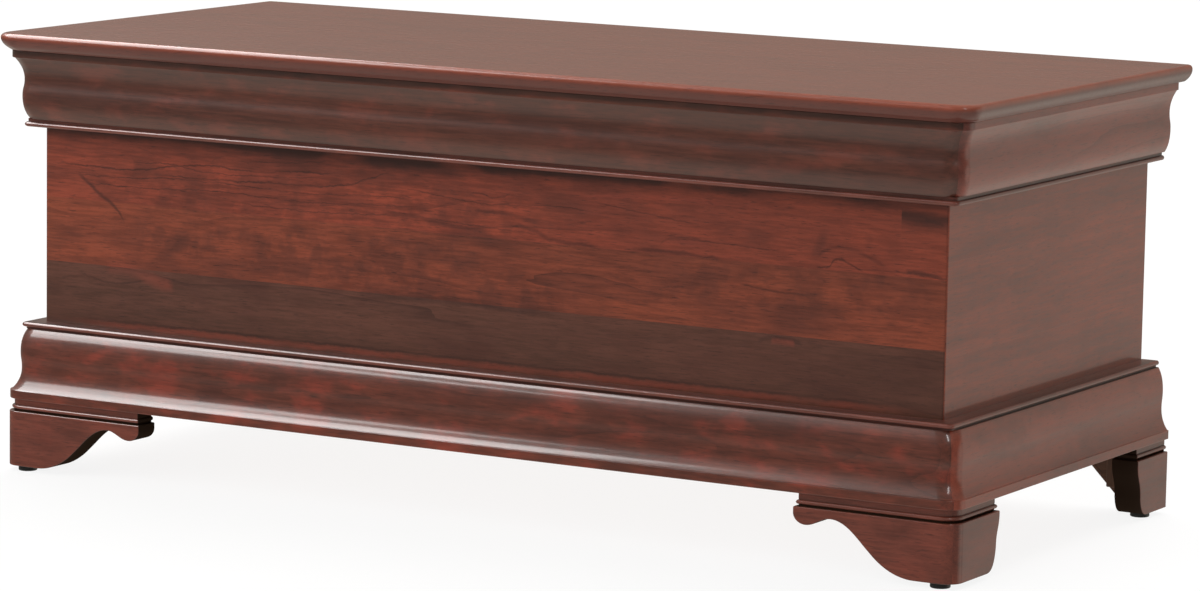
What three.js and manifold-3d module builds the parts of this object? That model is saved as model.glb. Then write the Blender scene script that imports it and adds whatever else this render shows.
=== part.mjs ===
// Blanket chest in stained cherry: solid lid on three butt hinges, a mitred case with an ogee moulding above
// and below, scrolled bracket feet in front and plain ones behind.
// Millimetres. +Z is up and the front faces -Y. The origin is on the floor, under the middle of the lid.
import * as THREE from "three";
import { mergeVertices } from "three/addons/utils/BufferGeometryUtils.js";
import Module from "manifold-3d";

const wasm = await Module();
wasm.setup();

// Case
const caseWidth = 1168;
const caseDepth = 511;
const boardThickness = 19;
const caseCornerRadius = 3;
const glueLine = 0.1; // left open in every glued or seated joint

// Heights, stacked from the floor
const glideHeight = 6.4;
const footHeight = 79;
const baseMouldingHeight = 81.6;
const baseBeadHeight = 7.6;
const panelShowing = 229.6;
const upperBeadHeight = 9.2;
const upperMouldingHeight = 80.4;
const lidThickness = 19.4;

// Lid
const lidOverhang = 44.6; // past the case at the front and both sides
const lidRearOverhang = 15;
const lidCornerRadius = 26;
const lidRearCornerRadius = 3;
const lidOpenAngle = 90; // degrees
const nose = { topRound: 5, under: 9, underDrop: 7.7 }; // the edge: a small round above, a long one below

const batten = { width: 60, thickness: 19, endGap: 14, fromSide: 254, easing: 3 };

// Bottom
const cleat = { thickness: 19, height: 28 };
const bottomThickness = 12;
const bottomGap = 0.8; // all round the loose bottom board

// Mouldings: offsets are taken out from the case's faces
const mouldingCornerRadius = 22;
const upperOgee = {
  fillet: 9,
  filletOffset: 33.8,
  step: 1.6,
  coveOffset: 23.8,
  bellyOffset: 25.6,
  edgeOffset: 19.2,
};
const baseOgee = {
  fillet: 10.4,
  filletOffset: 35.6,
  step: 1.6,
  coveOffset: 26,
  bellyOffset: 27,
  edgeOffset: 20.5,
};
// Heights on an ogee as shares of the moulding, from its fillet to its thin edge
const coveBendShare = 0.26;
const coveFootShare = 0.43;
const bellyShare = 0.67;
const bellyBendShare = 0.88;

const beadCornerRadius = 6;
const upperBead = { nose: 5.4, tipOffset: 19, neckOffset: 16 };
const baseBead = { nose: 5.4, tipOffset: 20.9, neckOffset: 17.4 };

// Feet: outlines are seen square on, reaching in from the case's corner and up from the foot's underside
const footStock = 32;
const footOffset = 35.2;
const footCornerRadius = 19;
const footNeck = {
  recessOffset: 31,
  recessDrop: 6.2,
  beadRadius: 2.4,
  beadDrop: 9.8,
  quirkOffset: 30.7,
  quirkDrop: 14.4,
  easing: 1.2,
};
const frontWing = {
  reach: 158,
  padReach: 13,
  kneeReach: 66,
  kneeHeight: 24,
  archReach: 113,
  archHeight: 55,
  lobeReach: 143,
  lobeHeight: 45.6,
  lobeSide: 58,
};
// How far the curves' control points stand off, each as a share of the run or rise that it bends
const scrollShares = { pad: 0.43, knee: 0.575, arch: 0.41, lobe: 0.38, lobeRound: 0.6 };
const taperShares = { pad: 0.6, lean: 0.12, leanHeight: 1 / 3 };
const sideWing = { reach: 71, padReach: 43, kneeReach: 64, kneeHeight: 26, edgeHeight: 62 };
const rearWing = { reach: 81.5, padReach: 52, kneeReach: 72, kneeHeight: 20, edgeHeight: 62 };
const braceThickness = 19;
const brace = { padReach: 8, reach: 87 };
const footBlock = { size: 24, lift: 24 };

const glide = {
  radius: 11,
  easing: 1.2,
  nailRadius: 1.5,
  nailLength: 15,
  alongFront: -11, // beyond the case's corner
  alongRear: 36,
};
const nailClearance = 0.12;

// Hinges: the pins' common axis lies behind the case, level with the lid's underside
const hingeFromSide = 154; // from the case's side to the middle of the outer hinges
const hingeSetback = 4;
const hinge = {
  length: 76,
  leafThickness: 2,
  leafReach: 16,
  knuckleRadius: 3.5,
  knuckles: 5,
  knuckleGap: 0.3,
};
const pin = { radius: 1.7, boreRadius: 1.8, headRadius: 2.7, headLength: 1.5 };
const leafSeatGap = 0.2;
const barrelRelief = 0.7;

// Lid stays: stud and rivet lie equally far from the hinge axis, so the arm turns half as fast as the lid
const stayRadius = 150;
const stayStudAngle = 35; // degrees below the closed lid, seen from the hinge axis
const stayRivetDrop = 15.7;
const arm = { width: 16, thickness: 2, wallGap: 2.5, endMargin: 6 };
const stud = { radius: 2.5, plateRadius: 15, plateThickness: 2, shoulderRadius: 4.5, endLength: 0.5 };
const rivet = { radius: 2.4, headRadius: 4.5, headHeight: 1.3 };
const knob = { radius: 7.5, flute: 0.35, flutes: 12, height: 6.5 };
const ear = { thickness: 2, radius: 9, flangeWidth: 26 };
const runningGap = 0.12;
const slotGap = 0.3;

const cutOverrun = 5; // how far every cutter reaches past what it cuts
const arcSteps = 4; // over 45 degrees of a plan corner
const curveSteps = 7; // along each curve of a profile
const roundSides = 16; // round a turned piece

// Worked-out places
const halfWidth = caseWidth / 2;
const frontY = -(lidOverhang + caseDepth + lidRearOverhang) / 2 + lidOverhang;
const rearY = frontY + caseDepth;
const lidRearY = rearY + lidRearOverhang;
const footTop = glideHeight + footHeight;
const baseMouldingTop = footTop + baseMouldingHeight;
const baseBeadTop = baseMouldingTop + baseBeadHeight;
const upperBeadBottom = baseBeadTop + panelShowing;
const upperMouldingBottom = upperBeadBottom + upperBeadHeight;
const lidUnderside = upperMouldingBottom + upperMouldingHeight;
const lidTop = lidUnderside + lidThickness;
const insideX = halfWidth - boardThickness;
const insideFrontY = frontY + boardThickness;
const insideRearY = rearY - boardThickness;
const cleatTop = footTop + cleat.height;
const hingeY = rearY + hingeSetback;
const hingeSpread = halfWidth - hingeFromSide;
const footInner = footOffset - footStock;
const quarter = Math.PI / 2;

const finishes = {
  lid: { color: 0x8c7064, roughness: 0.22, metalness: 0 },
  board: { color: 0x7a2c1c, roughness: 0.3, metalness: 0 },
  moulding: { color: 0x5c2f26, roughness: 0.28, metalness: 0 },
  foot: { color: 0x6b3226, roughness: 0.3, metalness: 0 },
  inside: { color: 0xb08a5e, roughness: 0.6, metalness: 0 },
  brass: { color: 0xb98f4a, roughness: 0.3, metalness: 1 },
  glide: { color: 0x151515, roughness: 0.5, metalness: 0 },
};

const chest = new THREE.Group();
chest.name = "blanket_chest";

function addPiece(name, geometry, finish, group = chest) {
  const piece = new THREE.Mesh(geometry, new THREE.MeshStandardMaterial(finishes[finish]));
  piece.name = name;
  group.add(piece);
  return piece;
}

// A closed surface through rings of equally many points. capPlan gives the two coordinates in which a cap is
// cut into triangles.
function skin(rings, capPlan) {
  const count = rings[0].length;
  const triangles = [];
  for (let r = 0; r + 1 < rings.length; r++) {
    for (let i = 0; i < count; i++) {
      const next = (i + 1) % count;
      const [a, b, c, d] = [r * count + i, r * count + next, (r + 1) * count + next, (r + 1) * count + i];
      triangles.push([a, b, c], [a, c, d]);
    }
  }
  const addCap = (ring, first, turned) => {
    const contour = ring.map(capPlan);
    const sense = THREE.ShapeUtils.area(contour) > 0;
    for (const face of THREE.ShapeUtils.triangulateShape(contour, [])) {
      const sameSense = THREE.ShapeUtils.area(face.map((k) => contour[k])) > 0 === sense;
      const [a, b, c] = face.map((k) => first + k);
      triangles.push(sameSense === turned ? [c, b, a] : [a, b, c]);
    }
  };
  addCap(rings[0], 0, true);
  addCap(rings[rings.length - 1], (rings.length - 1) * count, false);
  const points = rings.flat();
  let volume = 0;
  for (const [a, b, c] of triangles) {
    volume += points[a].dot(new THREE.Vector3().crossVectors(points[b], points[c]));
  }
  if (volume < 0) triangles.forEach((face) => face.reverse());
  const geometry = new THREE.BufferGeometry().setFromPoints(points);
  geometry.setIndex(triangles.flat());
  geometry.computeVertexNormals();
  return geometry;
}

const planOf = (point) => new THREE.Vector2(point.x, point.y);

function toSolid(geometry) {
  const bare = new THREE.BufferGeometry();
  bare.setAttribute("position", geometry.getAttribute("position"));
  if (geometry.index) bare.setIndex(geometry.index);
  const merged = mergeVertices(bare, 1e-4);
  return new wasm.Manifold(
    new wasm.Mesh({
      numProp: 3,
      vertProperties: new Float32Array(merged.getAttribute("position").array),
      triVerts: new Uint32Array(merged.index.array),
    }),
  );
}

function toGeometry(solid) {
  const mesh = solid.getMesh();
  const geometry = new THREE.BufferGeometry();
  geometry.setAttribute("position", new THREE.BufferAttribute(mesh.vertProperties, 3));
  geometry.setIndex(new THREE.BufferAttribute(mesh.triVerts, 1));
  geometry.computeVertexNormals();
  return geometry;
}

function combine(method, geometries) {
  const solids = geometries.map(toSolid);
  return toGeometry(solids.slice(1).reduce((whole, next) => whole[method](next), solids[0]));
}

const join = (...geometries) => combine("add", geometries);
const cut = (...geometries) => combine("subtract", geometries);
const keepInside = (...geometries) => combine("intersect", geometries);

function box(x0, x1, y0, y1, z0, z1) {
  const geometry = new THREE.BoxGeometry(x1 - x0, y1 - y0, z1 - z0);
  return geometry.translate((x0 + x1) / 2, (y0 + y1) / 2, (z0 + z1) / 2);
}

// A rod or a bore along X
function rod(radius, x0, x1, y, z, sides = roundSides) {
  const geometry = new THREE.CylinderGeometry(radius, radius, Math.abs(x1 - x0), sides);
  return geometry.rotateZ(quarter).translate((x0 + x1) / 2, y, z);
}

// A turned piece: its profile lists radius and distance along the axis, and starts and ends on the axis
function turned(profile, sides = roundSides) {
  return new THREE.LatheGeometry(profile.map(([r, along]) => new THREE.Vector2(r, along)), sides);
}

// The four sides of the case: along runs from the first corner to the second, out points away from the case
const sides = {
  front: { length: caseWidth, place: (along, out) => [-halfWidth + along, frontY - out] },
  right: { length: caseDepth, place: (along, out) => [halfWidth + out, frontY + along] },
  back: { length: caseWidth, place: (along, out) => [halfWidth - along, rearY + out] },
  left: { length: caseDepth, place: (along, out) => [-halfWidth - out, rearY - along] },
};

// Plan points of one mitred end at a given offset, from the mitre to the straight face, round the corner
function mitredEnd(offset, radius) {
  return Array.from({ length: arcSteps + 1 }, (_, i) => {
    const angle = (Math.PI / 4) * (3 - i / arcSteps);
    const along = radius - offset + radius * Math.cos(angle);
    return [along + (i ? 0 : glueLine / 2), offset - radius + radius * Math.sin(angle)];
  });
}

// Plan points of a whole length of moulding, with a mitre or a square end at each end
function runAlong(side, offset, radius, ends) {
  const end = (kind) => (kind === "mitre" ? mitredEnd(offset, radius) : [[0, offset]]);
  const start = end(ends[0]);
  const finish = end(ends[1]).map(([along, out]) => [side.length - along, out]);
  return [...start, ...finish.reverse()].map(([along, out]) => side.place(along, out));
}

const mouldedSides = [
  ["front", ["mitre", "mitre"]],
  ["left", ["square", "mitre"]],
  ["right", ["mitre", "square"]],
];

// One length of moulding: the profile's points, as offset and height, carried along the side
function moulding(profile, radius, side, ends) {
  const rows = profile.map(({ x: offset, y: height }) => {
    const bend = offset > glueLine ? radius : caseCornerRadius;
    return runAlong(side, offset, bend, ends).map(([x, y]) => new THREE.Vector3(x, y, height));
  });
  const rings = rows[0].map((_, station) => rows.map((row) => row[station]));
  const flat = new Map(rings.flatMap((ring) => ring.map((point, i) => [point, profile[i]])));
  return skin(rings, (point) => flat.get(point));
}

// An ogee from its fillet, at height 0, to its thin edge
function ogeeProfile(shape, height) {
  const path = new THREE.Path();
  path.moveTo(glueLine, 0);
  path.lineTo(shape.filletOffset, 0);
  path.lineTo(shape.filletOffset, shape.fillet);
  path.lineTo(shape.filletOffset - shape.step, shape.fillet);
  path.quadraticCurveTo(shape.coveOffset, height * coveBendShare, shape.coveOffset, height * coveFootShare);
  const bellyFoot = height * bellyShare;
  const middle = (height * coveFootShare + bellyFoot) / 2;
  path.bezierCurveTo(shape.coveOffset, middle, shape.bellyOffset, middle, shape.bellyOffset, bellyFoot);
  path.quadraticCurveTo(shape.bellyOffset, height * bellyBendShare, shape.edgeOffset, height);
  path.lineTo(glueLine, height);
  return path.getPoints(curveSteps);
}

// A half-round bead with the neck that makes the quirk above it
function beadProfile(shape, height) {
  const round = shape.nose / 2;
  const path = new THREE.Path();
  path.moveTo(glueLine, 0);
  path.lineTo(shape.tipOffset - round, 0);
  path.absarc(shape.tipOffset - round, round, round, -quarter, quarter, false);
  path.lineTo(shape.neckOffset, shape.nose);
  path.lineTo(shape.neckOffset, height);
  path.lineTo(glueLine, height);
  return path.getPoints(curveSteps);
}

const raised = (profile, bottom) => profile.map(({ x, y }) => new THREE.Vector2(x, bottom + y));
const turnedOver = (profile, top) => profile.map(({ x, y }) => new THREE.Vector2(x, top - y));

function withoutRepeats(profile) {
  return profile.filter((point, i) => i === 0 || point.distanceTo(profile[i - 1]) > 1e-6);
}

function addMouldings() {
  const upperOgeeProfile = turnedOver(ogeeProfile(upperOgee, upperMouldingHeight), lidUnderside);
  const kinds = [
    ["upper_moulding", upperOgeeProfile, mouldingCornerRadius],
    ["upper_bead", raised(beadProfile(upperBead, upperBeadHeight), upperBeadBottom), beadCornerRadius],
    ["base_bead", turnedOver(beadProfile(baseBead, baseBeadHeight), baseBeadTop), beadCornerRadius],
    ["base_moulding", raised(ogeeProfile(baseOgee, baseMouldingHeight), footTop), mouldingCornerRadius],
  ];
  for (const [kind, profile, radius] of kinds) {
    for (const [side, ends] of mouldedSides) {
      addPiece(`${side}_${kind}`, moulding(withoutRepeats(profile), radius, sides[side], ends), "moulding");
    }
  }
}

// A wall of the case: a board mitred at both ends, with the corners' small round on its face
function wall(side) {
  const face = runAlong(side, 0, caseCornerRadius, ["mitre", "mitre"]);
  const back = [side.length - boardThickness - glueLine / 2, boardThickness + glueLine / 2].map((along) =>
    side.place(along, -boardThickness),
  );
  const outline = [...face, ...back];
  return skin(
    [footTop, lidUnderside].map((z) => outline.map(([x, y]) => new THREE.Vector3(x, y, z))),
    planOf,
  );
}

const hingePlaces = { left: -hingeSpread, middle: 0, right: hingeSpread };

// The seats that the hinge leaves are let into, above or below the lid's underside
function leafSeats(direction) {
  const half = hinge.length / 2 + leafSeatGap;
  const depth = direction * (hinge.leafThickness + leafSeatGap);
  const [low, high] = direction > 0 ? [-cutOverrun, depth] : [depth, cutOverrun];
  return Object.values(hingePlaces).map((x) => {
    const front = rearY - hinge.leafReach - leafSeatGap;
    return box(x - half, x + half, front, rearY + cutOverrun, lidUnderside + low, lidUnderside + high);
  });
}

function addCase() {
  for (const name of ["front", "left", "right"]) addPiece(`${name}_panel`, wall(sides[name]), "board");
  addPiece("back_panel", cut(wall(sides.back), ...leafSeats(-1)), "board");

  const back = insideRearY - glueLine;
  const front = insideFrontY + glueLine;
  const end = insideX - glueLine;
  const inner = end - cleat.thickness - glueLine;
  addPiece("bottom_cleat_front", box(-end, end, front, front + cleat.thickness, footTop, cleatTop), "inside");
  addPiece("bottom_cleat_back", box(-end, end, back - cleat.thickness, back, footTop, cleatTop), "inside");
  for (const [name, sign] of [["left", -1], ["right", 1]]) {
    const [x0, x1] = [sign * end, sign * (end - cleat.thickness)].sort((a, b) => a - b);
    const gap = cleat.thickness + glueLine;
    addPiece(`bottom_cleat_${name}`, box(x0, x1, front + gap, back - gap, footTop, cleatTop), "inside");
  }
  const boardX = insideX - bottomGap;
  const [boardFront, boardBack] = [insideFrontY + bottomGap, insideRearY - bottomGap];
  const board = box(-boardX, boardX, boardFront, boardBack, cleatTop, cleatTop + bottomThickness);
  addPiece("bottom_panel", board, "inside");
}

// Outline of a wing of a foot: pad, knee, arch and rounded lobe, seen square on
function scrollShape(wing) {
  const { padReach, kneeReach, kneeHeight, archReach, archHeight } = wing;
  const { lobeReach, lobeHeight, lobeSide, reach } = wing;
  const shares = scrollShares;
  const beyond = -footOffset - cutOverrun;
  const shape = new THREE.Shape();
  shape.moveTo(beyond, -cutOverrun);
  shape.lineTo(padReach, -cutOverrun);
  shape.lineTo(padReach, 0);

  const bow = padReach + shares.pad * (kneeReach - padReach);
  const half = kneeHeight / 2;
  shape.bezierCurveTo(bow, 0, kneeReach - half, half, kneeReach, kneeHeight);

  const swell = kneeReach + shares.knee * kneeHeight;
  const crown = archReach - shares.arch * (archReach - kneeReach);
  shape.bezierCurveTo(swell, kneeHeight + half, crown, archHeight, archReach, archHeight);

  const run = shares.lobe * (lobeReach - archReach);
  shape.bezierCurveTo(archReach + run, archHeight, lobeReach - run, lobeHeight, lobeReach, lobeHeight);

  const turn = lobeReach + shares.lobeRound * (reach - lobeReach);
  shape.bezierCurveTo(turn, lobeHeight, reach, (lobeHeight + lobeSide) / 2, reach, lobeSide);
  shape.lineTo(reach + cutOverrun, lobeSide);
  shape.lineTo(reach + cutOverrun, footHeight + cutOverrun);
  shape.lineTo(beyond, footHeight + cutOverrun);
  return shape;
}

// Outline of a short wing: its end leans in and rounds into the pad
function taperShape(wing) {
  const { padReach, kneeReach, kneeHeight, reach, edgeHeight } = wing;
  const beyond = -footOffset - cutOverrun;
  const shape = new THREE.Shape();
  shape.moveTo(beyond, -cutOverrun);
  shape.lineTo(padReach, -cutOverrun);
  shape.lineTo(padReach, 0);

  const run = kneeReach - padReach;
  const bow = padReach + taperShares.pad * run;
  const lean = kneeReach - taperShares.lean * run;
  shape.bezierCurveTo(bow, 0, lean, taperShares.leanHeight * kneeHeight, kneeReach, kneeHeight);

  const bend = (kneeHeight + edgeHeight) / 2;
  shape.bezierCurveTo(kneeReach, bend, reach, bend, reach, edgeHeight);
  shape.lineTo(reach + cutOverrun, edgeHeight);
  shape.lineTo(reach + cutOverrun, footHeight + cutOverrun);
  shape.lineTo(beyond, footHeight + cutOverrun);
  return shape;
}

// Levels of a foot as offset and height: plain face, quirk, bead and recess under the base moulding
function footLevels() {
  const path = new THREE.Path();
  const quirkTop = footHeight - footNeck.beadDrop - footNeck.beadRadius;
  const faceTop = footHeight - footNeck.quirkDrop;
  const beadCentre = footNeck.quirkOffset;
  path.moveTo(footOffset, 0);
  path.lineTo(footOffset, faceTop - footNeck.easing);
  path.lineTo(footOffset - footNeck.easing, faceTop);
  path.lineTo(footNeck.quirkOffset, faceTop + glueLine);
  path.lineTo(footNeck.quirkOffset, quirkTop);
  path.absarc(beadCentre, footHeight - footNeck.beadDrop, footNeck.beadRadius, -quarter, quarter, false);
  path.lineTo(footNeck.recessOffset, footHeight - footNeck.recessDrop);
  path.lineTo(footNeck.recessOffset, footHeight);
  return withoutRepeats(path.getPoints(6));
}

// A bracket: its levels in plan, from the corner to the wing's end, kept inside its outline
function bracket(place, wing, outline, mitred) {
  const rings = footLevels().map(({ x: offset, y: height }) => {
    const end = wing.reach - (footOffset - offset);
    const inner = [mitred ? glueLine / 2 - footInner : 0, footInner];
    const face = mitred ? mitredEnd(offset, footCornerRadius) : [[0, offset]];
    const plan = [inner, ...face, [end, offset], [end, footInner]];
    return plan.map(([along, out]) => new THREE.Vector3(...place(along, out), glideHeight + height));
  });
  const levels = skin(rings, planOf);
  const prism = new THREE.ExtrudeGeometry(outline, {
    depth: footStock + 2 * cutOverrun,
    bevelEnabled: false,
    curveSegments: 10,
  });
  const points = prism.getAttribute("position");
  for (let i = 0; i < points.count; i++) {
    const [x, y] = place(points.getX(i), footInner - cutOverrun + points.getZ(i));
    points.setXYZ(i, x, y, glideHeight + points.getY(i));
  }
  const solid = toSolid(prism);
  if (solid.volume() > 0) return keepInside(levels, prism);
  const index = [...Array(points.count).keys()];
  for (let i = 0; i < index.length; i += 3) [index[i], index[i + 1]] = [index[i + 1], index[i]];
  prism.setIndex(index);
  return keepInside(levels, prism);
}

// Places measured along a wing from the case's corner, and out from the case
const wingPlaces = {
  front: (sign) => (along, out) => [sign * (halfWidth - along), frontY - out],
  side: (sign) => (along, out) => [sign * (halfWidth + out), frontY + along],
  rear: (sign) => (along, out) => [sign * (halfWidth + out), rearY - along],
};

function glideGeometry(x, y) {
  const { radius, easing, nailRadius, nailLength } = glide;
  const profile = [[0, 0], [radius - easing, 0], [radius, easing], [radius, glideHeight]];
  const nailTop = glideHeight + nailLength;
  profile.push([nailRadius, glideHeight], [nailRadius, nailTop], [0, nailTop]);
  return turned(profile).rotateX(quarter).translate(x, y, 0);
}

function nailHole(x, y) {
  const radius = glide.nailRadius + nailClearance;
  const length = glide.nailLength + nailClearance + cutOverrun;
  const hole = new THREE.CylinderGeometry(radius, radius, length, roundSides).rotateX(quarter);
  return hole.translate(x, y, glideHeight - cutOverrun + length / 2);
}

function addFeet() {
  const middle = footInner + footStock / 2;
  for (const [name, sign] of [["left", -1], ["right", 1]]) {
    const [front, side, rear] = ["front", "side", "rear"].map((wing) => wingPlaces[wing](sign));
    const frontGlide = front(glide.alongFront, middle);
    const rearGlide = rear(glide.alongRear, middle);
    const frontBracket = bracket(front, frontWing, scrollShape(frontWing), true);
    const sideBracket = bracket(side, sideWing, taperShape(sideWing), true);
    const rearBracket = bracket(rear, rearWing, taperShape(rearWing), false);
    addPiece(`front_${name}_foot_front_bracket`, cut(frontBracket, nailHole(...frontGlide)), "foot");
    addPiece(`front_${name}_foot_side_bracket`, sideBracket, "foot");
    addPiece(`rear_${name}_foot_side_bracket`, cut(rearBracket, nailHole(...rearGlide)), "foot");
    addPiece(`front_${name}_glide`, glideGeometry(...frontGlide), "glide");
    addPiece(`rear_${name}_glide`, glideGeometry(...rearGlide), "glide");

    const outer = footInner - glueLine;
    const profile = [[-outer, 0], [brace.padReach, 0], [brace.reach, footHeight], [-outer, footHeight]];
    const braceRings = [-glueLine, -braceThickness].map((out) =>
      profile.map(([along, height]) => {
        return new THREE.Vector3(sign * (halfWidth - along), rearY + out, glideHeight + height);
      }),
    );
    const seenFromBehind = (point) => new THREE.Vector2(point.x, point.z);
    addPiece(`rear_${name}_foot_back_brace`, skin(braceRings, seenFromBehind), "foot");

    const bottom = glideHeight + footBlock.lift;
    const [blockX0, blockX1] = [sign * (halfWidth + outer - footBlock.size), sign * (halfWidth + outer)].sort(
      (a, b) => a - b,
    );
    const frontBlockY = frontY - outer;
    const rearBlockY = rearY - braceThickness - glueLine;
    const top = footTop;
    const frontBlock = box(blockX0, blockX1, frontBlockY, frontBlockY + footBlock.size, bottom, top);
    const rearBlock = box(blockX0, blockX1, rearBlockY - footBlock.size, rearBlockY, bottom, top);
    addPiece(`front_${name}_foot_block`, frontBlock, "inside");
    addPiece(`rear_${name}_foot_block`, rearBlock, "inside");
  }
}

// The lid's plan at a given overhang: round front corners, nearly square rear ones
function lidPlan(overhang) {
  const corners = [
    [-1, frontY - overhang, lidCornerRadius, Math.PI],
    [1, frontY - overhang, lidCornerRadius, 3 * quarter],
    [1, lidRearY, lidRearCornerRadius, 0],
    [-1, lidRearY, lidRearCornerRadius, quarter],
  ];
  return corners.flatMap(([sign, edgeY, radius, start]) => {
    const [cx, cy] = [sign * (halfWidth + overhang - radius), edgeY + (edgeY < 0 ? radius : -radius)];
    return Array.from({ length: 2 * arcSteps + 1 }, (_, i) => {
      const angle = start + (quarter * i) / (2 * arcSteps);
      return [cx + radius * Math.cos(angle), cy + radius * Math.sin(angle)];
    });
  });
}

function lidSlab() {
  const path = new THREE.Path();
  const tip = lidTop - nose.topRound;
  path.moveTo(lidOverhang - nose.under, lidUnderside);
  path.quadraticCurveTo(lidOverhang, tip - nose.underDrop, lidOverhang, tip);
  path.absarc(lidOverhang - nose.topRound, tip, nose.topRound, 0, quarter, false);
  const rings = withoutRepeats(path.getPoints(curveSteps)).map(({ x: overhang, y: z }) =>
    lidPlan(overhang).map(([x, y]) => new THREE.Vector3(x, y, z)),
  );
  const half = hinge.length / 2 + leafSeatGap;
  const reach = hinge.knuckleRadius + barrelRelief;
  const reliefs = Object.values(hingePlaces).map((x) => {
    const [y0, y1] = [hingeY - reach, lidRearY + cutOverrun];
    const side = half + pin.headLength;
    return box(x - side, x + side, y0, y1, lidUnderside - cutOverrun, lidUnderside + reach);
  });
  return cut(skin(rings, planOf), ...leafSeats(1), ...reliefs);
}

const lid = new THREE.Group();
chest.add(lid);

function addLid() {
  addPiece("lid_slab", lidSlab(), "lid", lid);
  const [front, back] = [insideFrontY + batten.endGap, insideRearY - batten.endGap];
  for (const [name, sign] of [["left", -1], ["right", 1]]) {
    const shape = new THREE.Shape();
    const low = -batten.thickness;
    shape.moveTo(-batten.width / 2, 0);
    shape.lineTo(-batten.width / 2, low + batten.easing);
    shape.lineTo(-batten.width / 2 + batten.easing, low);
    shape.lineTo(batten.width / 2 - batten.easing, low);
    shape.lineTo(batten.width / 2, low + batten.easing);
    shape.lineTo(batten.width / 2, 0);
    const bar = new THREE.ExtrudeGeometry(shape, { depth: back - front, bevelEnabled: false });
    bar.rotateX(quarter).translate(sign * (halfWidth - batten.fromSide), back, lidUnderside);
    addPiece(`lid_batten_${name}`, bar, "inside", lid);
  }
}

// One hinge leaf: a plate in its seat, and its share of the knuckles round the pin
function hingeLeaf(x, direction, own) {
  const step = hinge.length / hinge.knuckles;
  const start = x - hinge.length / 2;
  const [low, high] = direction > 0 ? [0, hinge.leafThickness] : [-hinge.leafThickness, 0];
  const edge = hingeY - hinge.knuckleRadius - hinge.knuckleGap;
  const [z0, z1] = [lidUnderside + low, lidUnderside + high];
  const pieces = [box(start, start + hinge.length, rearY - hinge.leafReach, edge, z0, z1)];
  for (let i = own; i < hinge.knuckles; i += 2) {
    const x0 = start + i * step + (i ? hinge.knuckleGap / 2 : 0);
    const x1 = start + (i + 1) * step - (i < hinge.knuckles - 1 ? hinge.knuckleGap / 2 : 0);
    pieces.push(box(x0, x1, edge - hinge.knuckleGap, hingeY, z0, z1));
    pieces.push(rod(hinge.knuckleRadius, x0, x1, hingeY, lidUnderside));
  }
  const end = start + hinge.length;
  const bore = rod(pin.boreRadius, start - cutOverrun, end + cutOverrun, hingeY, lidUnderside);
  return cut(join(...pieces), bore);
}

function hingePin(x) {
  const half = hinge.length / 2 + glueLine;
  const tip = half + pin.headLength;
  const profile = [[0, -tip], [pin.headRadius, -tip], [pin.headRadius, -half], [pin.radius, -half]];
  profile.push([pin.radius, half], [pin.headRadius, half], [pin.headRadius, tip], [0, tip]);
  return turned(profile).rotateZ(-quarter).translate(x, hingeY, lidUnderside);
}

function addHinges() {
  for (const [name, x] of Object.entries(hingePlaces)) {
    addPiece(`hinge_${name}_case_leaf`, hingeLeaf(x, -1, 0), "brass");
    addPiece(`hinge_${name}_lid_leaf`, hingeLeaf(x, 1, 1), "brass", lid);
    addPiece(`hinge_${name}_pin`, hingePin(x), "brass");
  }
}

// A slotted arm in its own plane: the rivet's hole at the origin, the slot running towards +Y
function armShape(nearest, farthest) {
  const half = arm.width / 2;
  const slot = stud.radius + slotGap;
  const end = farthest + slot + arm.endMargin;
  const shape = new THREE.Shape();
  shape.absarc(0, 0, half, Math.PI, 2 * Math.PI, false);
  shape.absarc(0, end - half, half, 0, Math.PI, false);
  const hole = new THREE.Path();
  hole.absarc(0, 0, rivet.radius + runningGap, 0, 2 * Math.PI, true);
  const track = new THREE.Path();
  track.absarc(0, nearest, slot, 2 * Math.PI, Math.PI, true);
  track.absarc(0, farthest, slot, Math.PI, 0, true);
  shape.holes.push(hole, track);
  return shape;
}

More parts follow.
